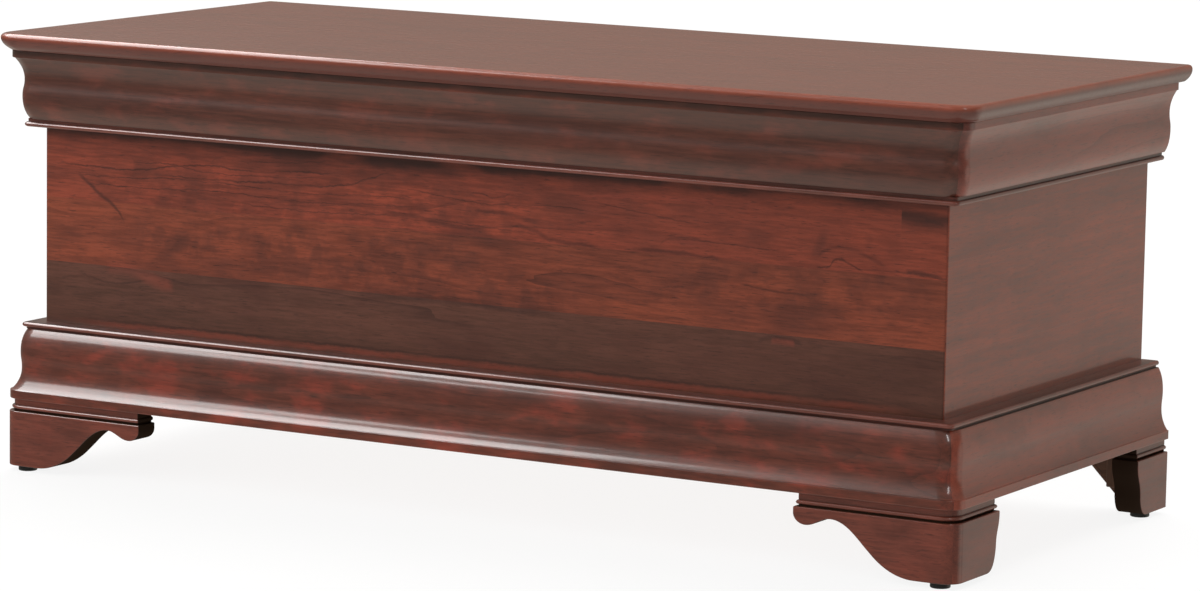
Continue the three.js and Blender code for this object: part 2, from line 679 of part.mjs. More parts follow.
function addStays() {
  const rivetAngle = Math.asin(stayRivetDrop / stayRadius);
  const studAngle = THREE.MathUtils.degToRad(stayStudAngle);
  const openAngle = THREE.MathUtils.degToRad(lidOpenAngle);
  const chord = (angle) => 2 * stayRadius * Math.sin(angle / 2);
  const nearest = chord(studAngle - rivetAngle);
  const farthest = chord(studAngle - rivetAngle + openAngle);
  const rivetY = hingeY - stayRadius * Math.cos(rivetAngle);
  const rivetZ = lidUnderside - stayRivetDrop;
  const studY = hingeY - stayRadius * Math.cos(studAngle);
  const studZ = lidUnderside - stayRadius * Math.sin(studAngle);
  const lean = Math.atan2(studZ - rivetZ, studY - rivetY);

  // Distances in from the case side's inner face, then turned to face it
  const armOuter = arm.wallGap;
  const armInner = armOuter + arm.thickness;
  const earInner = armInner + glueLine + ear.thickness;
  const atWall = (geometry, sign, y, z) => {
    return geometry.rotateZ(sign > 0 ? quarter : -quarter).translate(sign * insideX, y, z);
  };

  for (const [name, sign] of [["left", -1], ["right", 1]]) {
    const shoulder = armOuter - glueLine;
    const studEnd = armInner + glueLine + knob.height + stud.endLength;
    const plate = [[0, glueLine], [stud.plateRadius, glueLine], [stud.plateRadius, stud.plateThickness]];
    plate.push([stud.shoulderRadius, stud.plateThickness], [stud.shoulderRadius, shoulder]);
    plate.push([stud.radius, shoulder], [stud.radius, studEnd], [0, studEnd]);
    addPiece(`${name}_stay_plate`, atWall(turned(plate), sign, studY, studZ), "brass");

    const grip = new THREE.Shape();
    for (let i = 0; i < 4 * knob.flutes; i++) {
      const angle = (2 * Math.PI * i) / (4 * knob.flutes);
      const radius = knob.radius + knob.flute * Math.cos(knob.flutes * angle);
      grip[i ? "lineTo" : "moveTo"](radius * Math.cos(angle), radius * Math.sin(angle));
    }
    const bore = new THREE.Path();
    bore.absarc(0, 0, stud.radius + runningGap, 0, 2 * Math.PI, true);
    grip.holes.push(bore);
    const knobBody = new THREE.ExtrudeGeometry(grip, {
      depth: knob.height,
      bevelEnabled: false,
      curveSegments: 10,
    });
    knobBody.rotateY(-quarter * sign).translate(sign * (insideX - armInner - glueLine), studY, studZ);
    addPiece(`${name}_stay_knob`, knobBody, "brass");

    const blank = new THREE.ExtrudeGeometry(armShape(nearest, farthest), {
      depth: arm.thickness,
      bevelEnabled: false,
      curveSegments: 6,
    });
    blank.rotateY(quarter).rotateX(lean);
    const armX = sign > 0 ? insideX - armInner : -insideX + armOuter;
    addPiece(`${name}_stay_arm`, blank.translate(armX, rivetY, rivetZ), "brass");

    // The bracket is an angle: a flange under the lid and an ear beside the arm
    const [earX0, earX1] = [insideX - earInner, insideX - earInner + ear.thickness];
    const [x0, x1] = sign > 0 ? [earX0, earX1] : [-earX1, -earX0];
    const flangeX = insideX - earInner + ear.thickness - ear.flangeWidth;
    const [f0, f1] = sign > 0 ? [flangeX, earX1] : [-earX1, -flangeX];
    const flangeBottom = lidUnderside - ear.thickness;
    const flange = box(f0, f1, rivetY - ear.radius, rivetY + ear.radius, flangeBottom, lidUnderside);
    const web = box(x0, x1, rivetY - ear.radius, rivetY + ear.radius, rivetZ, lidUnderside);
    const round = rod(ear.radius, x0, x1, rivetY, rivetZ);
    const rivetHole = rod(rivet.radius + runningGap, x0 - cutOverrun, x1 + cutOverrun, rivetY, rivetZ);
    addPiece(`${name}_stay_bracket`, cut(join(flange, web, round), rivetHole), "brass", lid);

    const [outerFace, innerFace] = [armOuter - glueLine, earInner + glueLine];
    const pinProfile = [[0, outerFace - rivet.headHeight], [rivet.headRadius, outerFace - rivet.headHeight]];
    pinProfile.push([rivet.headRadius, outerFace], [rivet.radius, outerFace], [rivet.radius, innerFace]);
    pinProfile.push([rivet.headRadius, innerFace], [rivet.headRadius, innerFace + rivet.headHeight]);
    pinProfile.push([0, innerFace + rivet.headHeight]);
    addPiece(`${name}_stay_rivet`, atWall(turned(pinProfile), sign, rivetY, rivetZ), "brass", lid);
  }
}

addCase();
addMouldings();
addFeet();
addLid();
addHinges();
addStays();

export default chest;
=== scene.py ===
# A blanket chest in stained cherry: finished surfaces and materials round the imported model.
# Lengths are in millimetres and become metres as a mesh is made. Colours are screen values from 0 to 255.
# +Z is up and the front faces -Y.
import math
from functools import partialmethod

import bmesh
import bpy
import numpy as np
from mathutils import Matrix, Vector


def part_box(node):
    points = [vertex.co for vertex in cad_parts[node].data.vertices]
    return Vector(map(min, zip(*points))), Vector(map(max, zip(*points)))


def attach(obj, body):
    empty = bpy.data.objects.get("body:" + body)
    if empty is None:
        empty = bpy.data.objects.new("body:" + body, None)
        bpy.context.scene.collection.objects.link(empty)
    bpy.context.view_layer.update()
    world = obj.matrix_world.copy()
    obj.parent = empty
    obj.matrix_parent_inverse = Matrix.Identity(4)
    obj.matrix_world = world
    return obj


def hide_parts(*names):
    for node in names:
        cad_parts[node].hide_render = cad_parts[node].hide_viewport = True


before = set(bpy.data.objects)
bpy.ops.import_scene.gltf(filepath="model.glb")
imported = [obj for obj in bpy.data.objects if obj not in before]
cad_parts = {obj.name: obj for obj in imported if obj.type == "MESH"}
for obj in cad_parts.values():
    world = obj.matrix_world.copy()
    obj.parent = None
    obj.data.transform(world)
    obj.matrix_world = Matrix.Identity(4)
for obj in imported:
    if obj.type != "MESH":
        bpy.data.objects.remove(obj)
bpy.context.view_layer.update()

mm = 0.001
glueLine = 0.1  # left open in every glued or seated joint
beyond = 5  # how far a cutter stands out of what it cuts
arcSteps = 10  # along the 45 degrees of a mitred corner
sharpAngle = math.radians(32)  # corners turning more than this stay sharp
print("frame loaded:", len(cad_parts), "nodes")


def added(name, data):
    thing = bpy.data.objects.new(name, data)
    bpy.context.scene.collection.objects.link(thing)
    return thing


def stand(thing, right, up, back, place):
    # Turns a camera's or lamp's own axes to three directions and puts it at its place
    matrix = np.eye(4)
    matrix[:3] = np.column_stack([right, up, back, np.array(place) * mm])
    thing.matrix_world = Matrix(matrix.tolist())


# The camera stands at the photograph's angle
cameraLook = {
    "place": (2854.7, -4892.2, 1049.8),
    "yaw": 30.048,  # degrees, from the front towards the right side
    "pitch": 8.2515,  # looking down
    "roll": 0.98264,
    "lens": 149.226,
    "sensor": 36,
}


def addCamera(look):
    # Forward from yaw and pitch, then right and up turned about it by the roll
    yaw, pitch, roll = (math.radians(look[key]) for key in ("yaw", "pitch", "roll"))
    level, cos, sin = math.cos(pitch), math.cos(roll), math.sin(roll)
    forward = np.array([-math.sin(yaw) * level, math.cos(yaw) * level, -math.sin(pitch)])
    right = np.array([math.cos(yaw), math.sin(yaw), 0])
    up = np.cross(right, forward)
    camera = added("camera", bpy.data.cameras.new("camera"))
    camera.data.sensor_width, camera.data.lens = look["sensor"], look["lens"]
    stand(camera, right * cos + up * sin, up * cos - right * sin, -forward, look["place"])
    bpy.context.scene.camera = camera


addCamera(cameraLook)


class Socket:
    # One output in a node tree. Python's operators on it add Math nodes, and `add` makes any other node
    def __init__(self, tree, port=None):
        self.tree, self.port = tree, port

    def add(self, kind, settings=None, inputs=None, out=0):
        node = self.tree.nodes.new("ShaderNode" + kind)
        for key, value in (settings or {}).items():
            if key == "curve":
                points = node.mapping.curves[0].points
                while len(points) < len(value):
                    points.new(0.5, 0.5)
                for point, place in zip(points, value):
                    point.location = place
                node.mapping.update()
            else:
                setattr(node, key, value)
        for key, value in (inputs or {}).items():
            if isinstance(value, Socket):
                self.tree.links.new(value.port, node.inputs[key])
            else:
                node.inputs[key].default_value = value
        return Socket(self.tree, node.outputs[out] if node.outputs else None)

    def math(self, operation, other=0.0):
        return self.add("Math", {"operation": operation}, {0: self, 1: other})

    __add__ = __radd__ = partialmethod(math, "ADD")
    __mul__ = __rmul__ = partialmethod(math, "MULTIPLY")
    __sub__ = partialmethod(math, "SUBTRACT")
    __pow__ = partialmethod(math, "POWER")
    __abs__ = partialmethod(math, "ABSOLUTE")

    def __rsub__(self, other):
        return self.add("Math", {"operation": "SUBTRACT"}, {0: other, 1: self})

    def vector(self, operation, other, out=0):
        return self.add("VectorMath", {"operation": operation}, {0: self, 1: other}, out)

    def along(self, direction):
        return self.vector("DOT_PRODUCT", direction, 1)

    def scaled(self, factor):
        return self.add("VectorMath", {"operation": "SCALE"}, {0: self, "Scale": factor})

    def part(self, index):
        return self.add("SeparateXYZ", inputs={0: self}, out=index)

    def noise(self, stretch, detail, roughness=0.5, out=0):
        inputs = {"Vector": self.vector("MULTIPLY", stretch), "Scale": 1, "Detail": detail, "Roughness": roughness}
        return self.add("TexNoise", inputs=inputs, out=out)

    def ramp(self, low, high, toLow=0.0, toHigh=1.0):
        # Smooth step from toLow to toHigh while the value goes from low to high
        inputs = {"Value": self, "From Min": low, "From Max": high, "To Min": toLow, "To Max": toHigh}
        return self.add("MapRange", {"interpolation_type": "SMOOTHSTEP"}, inputs)

    def blend(self, low, high):
        # This value picks between two colours
        return self.add("Mix", {"data_type": "RGBA"}, {0: self, 6: low, 7: high}, 2)


def paint(screen):
    # A screen colour as the linear colour that a shader takes
    share = np.array(screen) / 255
    linear = np.where(share <= 0.04045, share / 12.92, ((share + 0.055) / 1.055) ** 2.4)
    return (*linear.tolist(), 1.0)


def painted(look):
    # Whole numbers in threes are screen colours
    return {
        key: paint(value) if isinstance(value, tuple) and all(isinstance(part, int) for part in value) else value
        for key, value in look.items()
    }


def emptyTree(block):
    block.use_nodes = True
    block.node_tree.nodes.clear()
    return Socket(block.node_tree)


def startMaterial(name):
    material = bpy.data.materials.new(name)
    return material, emptyTree(material)


def endMaterial(start, shader):
    start.add("OutputMaterial", inputs={"Surface": shader})


stain = {
    "light": (140, 60, 38),
    "dark": (100, 42, 29),
    "line": (42, 20, 16),  # the late wood of each ring, and mineral streaks; also the painted shadow under the front's upper bead
    "blotch": (62, 29, 21),
    "fleckAndReflection": (140, 58, 40),  # where the stain is thin, and the painted reflection above the front's base bead
    "glazeAndShadeColour": (28, 15, 11),  # stain left standing in hollows, and painted shade there
    "rings": 170,  # per metre of the log's radius
    "ringWobble": 0.35,
    "ringSharpness": 7,
    "lineStrength": 0.55,
    "blotchStrength": 0.5,
    "curl": 0.1,  # dark patches across the grain
    "patches": 0,  # round patches, dull red and dark
    "hollows": 0,  # how far the glaze and painted shade cover them
    "hollowDulling": 0.7,  # how far they lose their coat
    "roughness": (0.37, 0.48),
    "coat": 0.8,
    "coatRoughness": 0.1,
    "specular": 0.3,
}
clearWood = {  # bare wood inside the case
    "light": (186, 138, 96),
    "dark": (156, 110, 72),
    "line": (112, 72, 44),
    "blotch": (140, 96, 62),
    "coat": 0,
    "roughness": (0.45, 0.56),
    "curl": 0.15,
}
grainTurns = {"x": (0, 0, 0), "y": (0, 0, -math.pi / 2), "z": (0, math.pi / 2, 0)}
grainNoise = {  # stretch along and across the grain per metre, detail, roughness, and where it starts and is full
    "warp": ((1.3, 7, 7), 2.5, 0.55),
    "wobble": ((3, 60, 60), 2, 0.5),
    "fading": ((2.2, 14, 14), 2, 0.5, 0.42, 0.68),
    "blotch": ((7, 16, 16), 4, 0.6, 0.48, 0.72),
    "curl": ((24, 9, 9), 2.5, 0.55, 0.5, 0.66),
    "fibre": ((26, 330, 330), 4, 0.7),
    "streak": ((4, 55, 55), 3, 0.6, 0.36, 0.64),
    "pore": ((70, 1100, 1100), 1, 0.5, 0.62, 0.72),
    "tone": ((1.6, 9, 9), 3, 0.6, 0.3, 0.7),
    "patch": ((15, 30, 30), 3, 0.6),
    "broken": ((12, 40, 40), 2, 0.5, 0.3, 0.55, 0.45, 1),
    "wave": ((14, 30, 30), 1, 0.5),
}
placeNoise = {"wander": ((34, 34, 34), 4, 0.7), "mottled": ((40, 40, 46), 3)}  # the same, for marks
toneShares = {"tone": 0.32, "streak": 0.28, "fibre": 0.4}
reliefShares = {"fibre": 0.5, "line": 0.6, "pore": 0.8}  # fibres stand up, lines and pores lie deep
halves = (0.5, 0.5, 0.5)
warpReach = (0, 0.05, 0.05)  # how far slow noise bends the rings
logTaper = (0.012, 1, 1)
jointBlur = 0.2  # to each side of a joint between boards
bareDepth = (0.5, 0.3)  # short of a board's inner face, where bare wood begins and is full
markBend = 8 * mm  # how far noise pushes the marks about
markRoom = 10 * mm  # above and below a mark's path, for its curve
markEdge = 0.6  # of a mark's width, from its path to where it ends


def stroke(place, fade, core, width, strength, path):
    # A mark along a smooth curve: its height is a curve of the place along it, and it fades at both ends.
    # One that stands more than it lies is worked the other way about.
    path = np.array(path, float) * mm
    lying = np.ptp(path[:, 0]) > np.ptp(path[:, 1])
    path = path if lying else path[:, ::-1]
    path = path[np.argsort(path[:, 0])]
    along, across = place if lying else place[::-1]
    (first, last), low, span = path[[0, -1], 0], path[:, 1].min() - markRoom, np.ptp(path[:, 1]) + 2 * markRoom
    shares = [((a - first) / (last - first), (b - low) / span) for a, b in path]
    run = along.add("MapRange", inputs={"Value": along, "From Min": first, "From Max": last})
    away = abs(run.add("FloatCurve", {"curve": shares}, {"Value": run}) * span + low - across)
    ends = run.ramp(0, fade) * (1 - run.ramp(1 - fade, 1))
    return (1 - away.ramp(width * mm * core, width * mm * markEdge)) * ends * strength


def cherry(name, grain, shift, joints=(), acrossAxis=2, marks=None, inside=None, **changes):
    # Wood cut from a log that lies along the grain: rings by distance from its pith, bent by slow noise, then blotches
    # of stain, fibres and pores. Each board of a glued-up panel is moved to another part of the log.
    look, bareLook = painted({**stain, **changes}), painted(clearWood)
    material, start = startMaterial(name)
    place = start.add("TexCoord", out=3)
    log = start.add("Mapping", inputs={"Vector": place, "Location": shift, "Rotation": grainTurns[grain]})
    light, dark = look["light"], look["dark"]
    for at, boardShift, tones in joints:
        above = place.part(acrossAxis).ramp((at - jointBlur) * mm, (at + jointBlur) * mm)
        move = start.add("CombineXYZ", inputs=dict(zip("XYZ", boardShift)))
        log = log.vector("ADD", move.scaled(above))
        light = above.blend(light, paint(tones["light"]))
        dark = above.blend(dark, paint(tones["dark"]))

    def noise(key, out=0):
        stretch, detail, roughness, *limits = grainNoise[key]
        value = log.noise(stretch, detail, roughness, out)
        return value.ramp(*limits) if limits else value

    warp = noise("warp", 1).vector("SUBTRACT", halves)
    bent = log.vector("ADD", warp.vector("MULTIPLY", warpReach))
    radius = bent.vector("MULTIPLY", logTaper).vector("LENGTH", (0, 0, 0), out=1)
    rings = radius * look["rings"] + noise("wobble") * look["ringWobble"]
    line = rings.math("FRACT") ** look["ringSharpness"] * noise("fading") * look["lineStrength"]
    tone, fibre, pore = noise("tone"), noise("fibre"), noise("pore")
    mix = tone * toneShares["tone"] + noise("streak") * toneShares["streak"]
    colour = (mix + fibre.ramp(0.38, 0.62) * toneShares["fibre"]).blend(dark, light)
    layers = [(noise("curl") * look["curl"], "blotch")]
    if look["patches"]:
        patch = noise("patch")
        layers.append((patch.ramp(0.48, 0.68) * look["patches"], "fleckAndReflection"))
        layers.append(((1 - patch.ramp(0.34, 0.5)) * look["patches"], "blotch"))
    layers += [(noise("blotch") * look["blotchStrength"], "blotch"), (line, "line")]
    if marks:
        wander = place.noise(*placeNoise["wander"], out=1).vector("SUBTRACT", halves)
        pushed = place.vector("ADD", wander.scaled(markBend))
        spot = pushed.part(0), pushed.part(2)
        broken, mottled = noise("broken"), place.noise(*placeNoise["mottled"]).ramp(0.42, 0.62)
        for kind, (fade, core, tint, strokes) in marks.items():
            mask = None
            for width, strength, *path in strokes:
                one = stroke(spot, fade, core, width, strength, path)
                mask = mask.math("MAXIMUM", one) if mask else one
            layers.append((mask * (mottled if kind == "mottle" else broken), tint))
    for mask, tint in [*layers, (pore * 0.5, "line")]:
        colour = mask.blend(colour, look[tint])
    coat = look["coat"]
    if inside:
        into, face = inside
        bare = place.along(into).ramp(*((face - depth) * mm for depth in bareDepth))
        plain = (tone * 0.5 + fibre.ramp(0.3, 0.7) * 0.5).blend(bareLook["dark"], bareLook["light"])
        colour = bare.blend(colour, line.blend(plain, bareLook["line"]))
        coat = (1 - bare) * coat
    # Darker beyond a height or a depth along one axis; on the front's upper moulding this is the painted shadow of the
    # lid
    if "fade" in look:
        axis, tinted, untinted, tint = look["fade"]
        share = place.part(axis).ramp(tinted * mm, untinted * mm)
        colour = colour.vector("MULTIPLY", share.blend((*tint, 1.0), (1.0, 1.0, 1.0, 1.0)))
    if "noseCoat" in look:
        near, far, share = look["noseCoat"]
        coat = place.part(1).ramp(near * mm, far * mm, share, 1.0) * coat
    # Stain glaze and painted shade in the hollows: darker, and with less coat
    if look["hollows"]:
        dusk = start.add("Attribute", {"attribute_name": "dusk"}, out=2)
        colour = (dusk * look["hollows"]).blend(colour, look["glazeAndShadeColour"])
        coat = (1 - dusk * look["hollowDulling"]) * coat
    height = fibre * reliefShares["fibre"] - line * reliefShares["line"] - pore * reliefShares["pore"]
    bump = start.add("Bump", inputs={"Strength": 0.35, "Distance": 0.08 * mm, "Height": height})
    wave = {"Strength": 0.25, "Distance": 0.6 * mm, "Height": noise("wave"), "Normal": bump}
    wood = start.add("BsdfPrincipled", inputs={
        "Base Color": colour,
        "Roughness": fibre.ramp(0.25, 0.75, *look["roughness"]),
        "Specular IOR Level": look["specular"],
        "Coat Weight": coat,
        "Coat Roughness": look["coatRoughness"],
        "Normal": start.add("Bump", inputs=wave),
    })
    # Where the hollow mark is strong, a plain dark matte sheet: painted shade, mostly on the feet's cut edges, ends
    # and backs
    if "paintedShadeUnder" in look:
        raw = start.add("BsdfDiffuse", inputs={"Color": look["paintedShadeUnder"], "Roughness": 0.5})
        wood = start.add("MixShader", inputs={0: dusk.ramp(0.5, 0.9), 1: wood, 2: raw})
    endMaterial(start, wood)
    return material


brassLook = {"bright": (190, 156, 102), "tarnish": (122, 94, 60), "tarnishShare": 0.55, "roughness": (0.28, 0.48)}


def brass(name, tarnishShare=brassLook["tarnishShare"]):
    # Lacquered brass, dulled in clouds, with fine scratches across it
    look = painted(brassLook)
    material, start = startMaterial(name)
    place = start.add("TexCoord", out=3)
    cloud = place.noise((60, 60, 60), 4, 0.6).ramp(0.35, 0.7)
    scratch = place.noise((2600, 160, 900), 2).ramp(0.55, 0.72)
    bump = {"Strength": 0.15, "Distance": 0.03 * mm, "Height": scratch + cloud * 0.5}
    endMaterial(start, start.add("BsdfPrincipled", inputs={
        "Base Color": (cloud * tarnishShare + scratch * 0.15).blend(look["bright"], look["tarnish"]),
        "Metallic": 1.0,
        "Roughness": (cloud * 0.7 + scratch * 0.3).ramp(0.0, 1.0, *look["roughness"]),
        "Normal": start.add("Bump", inputs=bump),
    }))
    return material


nylonLook = {"dark": (17, 17, 18), "scuffed": (44, 43, 42), "roughness": (0.38, 0.62)}


def nylon(name):
    # Moulded black nylon, scuffed grey in small patches
    look = painted(nylonLook)
    material, start = startMaterial(name)
    place = start.add("TexCoord", out=3)
    scuff = place.noise((240, 240, 240), 4, 0.65).ramp(0.55, 0.75)
    bump = {"Strength": 0.3, "Distance": 0.06 * mm, "Height": place.noise((1800, 1800, 1800), 2)}
    endMaterial(start, start.add("BsdfPrincipled", inputs={
        "Base Color": scuff.blend(look["dark"], look["scuffed"]),
        "Roughness": scuff.ramp(0.0, 1.0, *look["roughness"]),
        "Normal": start.add("Bump", inputs=bump),
    }))
    return material


print("finishes ready")


def cornersOf(node):
    # Lowest and highest corner of a node, in millimetres
    return [np.array(corner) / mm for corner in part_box(node)]


def heightsOf(node):
    return [corner[2] for corner in cornersOf(node)]


def middleOf(node):
    return sum(cornersOf(node)) / 2


def bezier(controls, steps=16):
    # Bernstein sum of the control points at even steps of t
    controls = np.array(controls, float)
    degree = len(controls) - 1
    t = np.linspace(0, 1, steps + 1)[:, None]
    return sum(math.comb(degree, k) * t**k * (1 - t) ** (degree - k) * controls[k] for k in range(degree + 1))


def arcPoints(centre, radius, first, last, steps):
    # Points round a centre from one angle to another, in degrees: c + r (cos a, sin a)
    angle = np.radians(np.linspace(first, last, steps + 1))[:, None]
    return np.array(centre) + radius * np.hstack([np.cos(angle), np.sin(angle)])


def cornerArcs(steps):
    # Angles along the four corner arcs of a rectangle, and which way each corner lies from the middle
    angle = (np.radians([0, 90, 180, 270])[:, None] + np.radians(np.linspace(0, 90, steps + 1))).ravel()
    return angle, np.repeat([[1, 1], [-1, 1], [-1, -1], [1, -1]], steps + 1, 0)


def normalsOf(ahead):
    # Across each direction in the plane: (y, -x) made one long
    return np.stack([ahead[:, 1], -ahead[:, 0]], -1) / np.linalg.norm(ahead, axis=1)[:, None]


def eased(corners, reach, steps=5):
    # Each corner P becomes the parabola (1-t)^2 A + 2t(1-t) P + t^2 B, where A and B lie `reach` along its two edges
    corners = np.array(corners, float)
    reach = np.broadcast_to(np.array(reach, float), len(corners))[:, None]
    ends = []
    for step in (1, -1):
        edge = np.roll(corners, step, 0) - corners
        ends.append(corners + edge / np.linalg.norm(edge, axis=1)[:, None] * reach)
    t = np.linspace(0, 1, steps + 1)[None, :, None]
    arcs = (1 - t) ** 2 * ends[0][:, None] + 2 * t * (1 - t) * corners[:, None] + t**2 * ends[1][:, None]
    points = arcs.reshape(-1, corners.shape[1])
    return points[np.linalg.norm(points - np.roll(points, 1, 0), axis=1) > 1e-6]


def loopQuads(rows, columns):
    # Quads between neighbouring rows, each row a closed loop of `columns` points
    first = np.arange((rows - 1) * columns).reshape(-1, columns)
    following = np.roll(first, -1, axis=1)
    return np.stack([first, following, following + columns, first + columns], -1).reshape(-1, 4).tolist()


def closedMesh(points, faces, dusk=None):
    # Doubles merged, empty faces dropped and the rest turned outwards. The hollow mark, from 0 to 1, gives where stain
    # glaze and painted shade go
    mesh = bpy.data.meshes.new("part")
    mesh.from_pydata((np.asarray(points, float).reshape(-1, 3) * mm).tolist(), [], faces)
    if dusk is not None:
        shade = mesh.attributes.new("dusk", "FLOAT", "POINT")
        shade.data.foreach_set("value", np.ascontiguousarray(dusk, np.float32).ravel())
    shape = bmesh.new()
    shape.from_mesh(mesh)
    bmesh.ops.remove_doubles(shape, verts=shape.verts, dist=2e-6)
    bmesh.ops.dissolve_degenerate(shape, edges=shape.edges, dist=1e-6)
    bmesh.ops.recalc_face_normals(shape, faces=shape.faces)
    shape.to_mesh(mesh)
    shape.free()
    return mesh


def ringed(rings, dusk=None, caps=True):
    # A surface through a stack of loops, closed by a flat face at each end or else by joining the last to the first
    if not caps:
        rings = np.concatenate([rings, rings[:1]])
    rows, columns = rings.shape[:2]
    ends = [list(range(columns)), list(range((rows - 1) * columns, rows * columns))] if caps else []
    if dusk is not None:
        dusk = np.broadcast_to(dusk, (rows, columns))
    return closedMesh(rings, loopQuads(rows, columns) + ends, dusk)


def cutters(spans):
    # Plain cutters, each given as its lowest and highest corner
    spans = np.array(spans, float)
    pick = np.array([[0, 0, 0], [1, 0, 0], [1, 1, 0], [0, 1, 0], [0, 0, 1], [1, 0, 1], [1, 1, 1], [0, 1, 1]])
    points = np.where(pick[None], spans[:, 1, None], spans[:, 0, None])
    sides = np.array([[0, 3, 2, 1], [4, 5, 6, 7], [0, 1, 5, 4], [1, 2, 6, 5], [2, 3, 7, 6], [3, 0, 4, 7]])
    return closedMesh(points, (sides[None] + 8 * np.arange(len(spans))[:, None, None]).reshape(-1, 4).tolist())


def carve(mesh, *tools):
    # Takes each cutter out of a closed mesh in turn
    for tool in tools:
        whole, cutter = added("whole", mesh), added("cutter", tool)
        boolean = whole.modifiers.new("carve", "BOOLEAN")
        boolean.object, boolean.operation, boolean.solver = cutter, "DIFFERENCE", "EXACT"
        bpy.context.view_layer.update()
        mesh = bpy.data.meshes.new_from_object(whole.evaluated_get(bpy.context.evaluated_depsgraph_get()))
        for each in (whole, cutter):
            bpy.data.objects.remove(each)
    return mesh


def facesIn(low, high, easing, steps=3):
    # Levels between two faces, as inset and height: e(1 - cos p) at e(1 - sin p) from each face
    turn = np.radians(np.linspace(90, 0, steps + 1))
    inset, depth = easing * (1 - np.cos(turn)), easing * (1 - np.sin(turn))
    return np.concatenate([np.stack([inset, low + depth], -1), np.stack([inset, high - depth], -1)[::-1]])


def plate(outline, levels, place):
    # A flat piece: its outline at every level is drawn in along its own normals, p - n * inset
    outline = np.array(outline, float)
    normal = normalsOf(np.roll(outline, -1, 0) - np.roll(outline, 1, 0))
    plan = outline - normal * levels[:, :1, None]
    height = np.broadcast_to(levels[:, 1:], plan.shape[:2])
    return ringed(np.stack(place(plan[..., 0], plan[..., 1], height), -1))


def easedBoard(node, easing, steps=3):
    # Rings along the longest side, each a rectangle whose corner arcs keep their centres and lose the inset in radius
    low, high = cornersOf(node)
    along = int(np.argmax(high - low))
    first, second = (axis for axis in range(3) if axis != along)
    levels = facesIn(low[along], high[along], easing, steps)
    angle, signs = cornerArcs(steps)
    centre = np.where(signs > 0, high[[first, second]], low[[first, second]]) - signs * easing
    radius = easing - levels[:, :1]
    rings = np.empty((len(levels), len(angle), 3))
    rings[..., along] = levels[:, 1:]
    rings[..., first] = centre[:, 0] + radius * np.cos(angle)
    rings[..., second] = centre[:, 1] + radius * np.sin(angle)
    return ringed(rings)


def turned(profile, centre=(0, 0, 0), axis=0, sides=32, flutes=0, flute=0.0, hollow=False):
    # Rings round an axis from heights and radii: (h, r cos a, r sin a), where flutes add f cos(n a) to the widest
    height, radius = np.array(profile, float).T[:, :, None]
    angle = np.linspace(0, 2 * math.pi, sides, endpoint=False)
    reach = radius + flute * np.cos(flutes * angle) * (radius / radius.max()) ** 8
    local = np.stack(np.broadcast_arrays(height, reach * np.cos(angle), reach * np.sin(angle)), -1)
    return ringed(np.roll(local, axis, -1) + centre, caps=not hollow)


def dome(low, high, radius, steps=5):
    # Heights and radii of a shallow dome: low + (high - low) sin t, r cos t
    turn = np.radians(np.linspace(0, 84, steps + 1))
    return np.stack([low + (high - low) * np.sin(turn), radius * np.cos(turn)], -1).tolist()


def showPiece(stuff, node, mesh, finish, body):
    # Smooth faces with sharp corners, leaning on the largest faces, and tied to the model's body and node
    mesh.name = f"{stuff}_{node}"
    piece = added(mesh.name, mesh)
    mesh.materials.clear()
    mesh.materials.append(finish)
    mesh.shade_smooth()
    mesh.set_sharp_from_angle(angle=sharpAngle)
    lean = piece.modifiers.new("lean", "WEIGHTED_NORMAL")
    lean.keep_sharp = True
    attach(piece, body)
    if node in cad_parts:
        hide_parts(node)


case = {"board": 19, "cornerRadius": 3, "topEasing": 1.4}
halfWidth = cornersOf("right_panel")[1][0]
frontY = cornersOf("front_panel")[0][1]
rearY = cornersOf("back_panel")[1][1]
caseBottom, caseTop = heightsOf("front_panel")
insideX = halfWidth - case["board"]

# Each side's first corner, its direction, the way out of the case, and its length
sides = {
    "front": ((-halfWidth, frontY), (1, 0), (0, -1), 2 * halfWidth),
    "right": ((halfWidth, frontY), (0, 1), (1, 0), rearY - frontY),
    "back": ((halfWidth, rearY), (-1, 0), (0, 1), 2 * halfWidth),
    "left": ((-halfWidth, rearY), (0, -1), (-1, 0), rearY - frontY),
}


def intoCase(side):
    out = sides[side][2]
    return -out[0], -out[1], 0


def mitredArc(offset, radius):
    # Plan points from the mitre to the straight face: along = r - o + r cos a, out = o - r + r sin a, a from 135 to 90
    angle = np.radians(np.linspace(135, 90, arcSteps + 1))[:, None]
    arc = np.stack([radius - offset + radius * np.cos(angle), offset - radius + radius * np.sin(angle)], -1)
    arc[0, :, 0] += glueLine / 2
    return arc


def inPlan(stations, corner, direction, out):
    return np.array(corner) + stations[..., :1] * np.array(direction) + stations[..., 1:] * np.array(out)


def hollowness(profile, reach=4.0, depth=2.2, longestRun=3):
    # How far each point of a profile lies behind its neighbours' mean, weighed by nearness and by its share of length
    offset, height = profile.T
    run = np.minimum(np.linalg.norm(np.roll(profile, -1, 0) - np.roll(profile, 1, 0), axis=1), longestRun)
    outer = offset > 2 * glueLine
    near = np.exp(-(((height[:, None] - height[None]) / reach) ** 2)) * (run * outer)[None]
    behind = (near * offset[None]).sum(1) / near.sum(1) - offset
    return np.clip(behind / depth, 0, 1) * outer


def sweep(side, profile, radius, ends, dusk=None):
    # A closed profile of offsets and heights carried along one side, with a mitre or a square cut at each end
    offset, height = profile.T
    corner, direction, out, length = sides[side]
    cuts = {"mitre": mitredArc(offset, radius), "square": np.stack([0 * offset, offset], -1)[None]}
    far = cuts[ends[1]][::-1] * (-1, 1) + (length, 0)
    plan = inPlan(np.concatenate([cuts[ends[0]], far]), corner, direction, out)
    return ringed(np.dstack([plan, np.broadcast_to(height, plan.shape[:2])]), dusk)


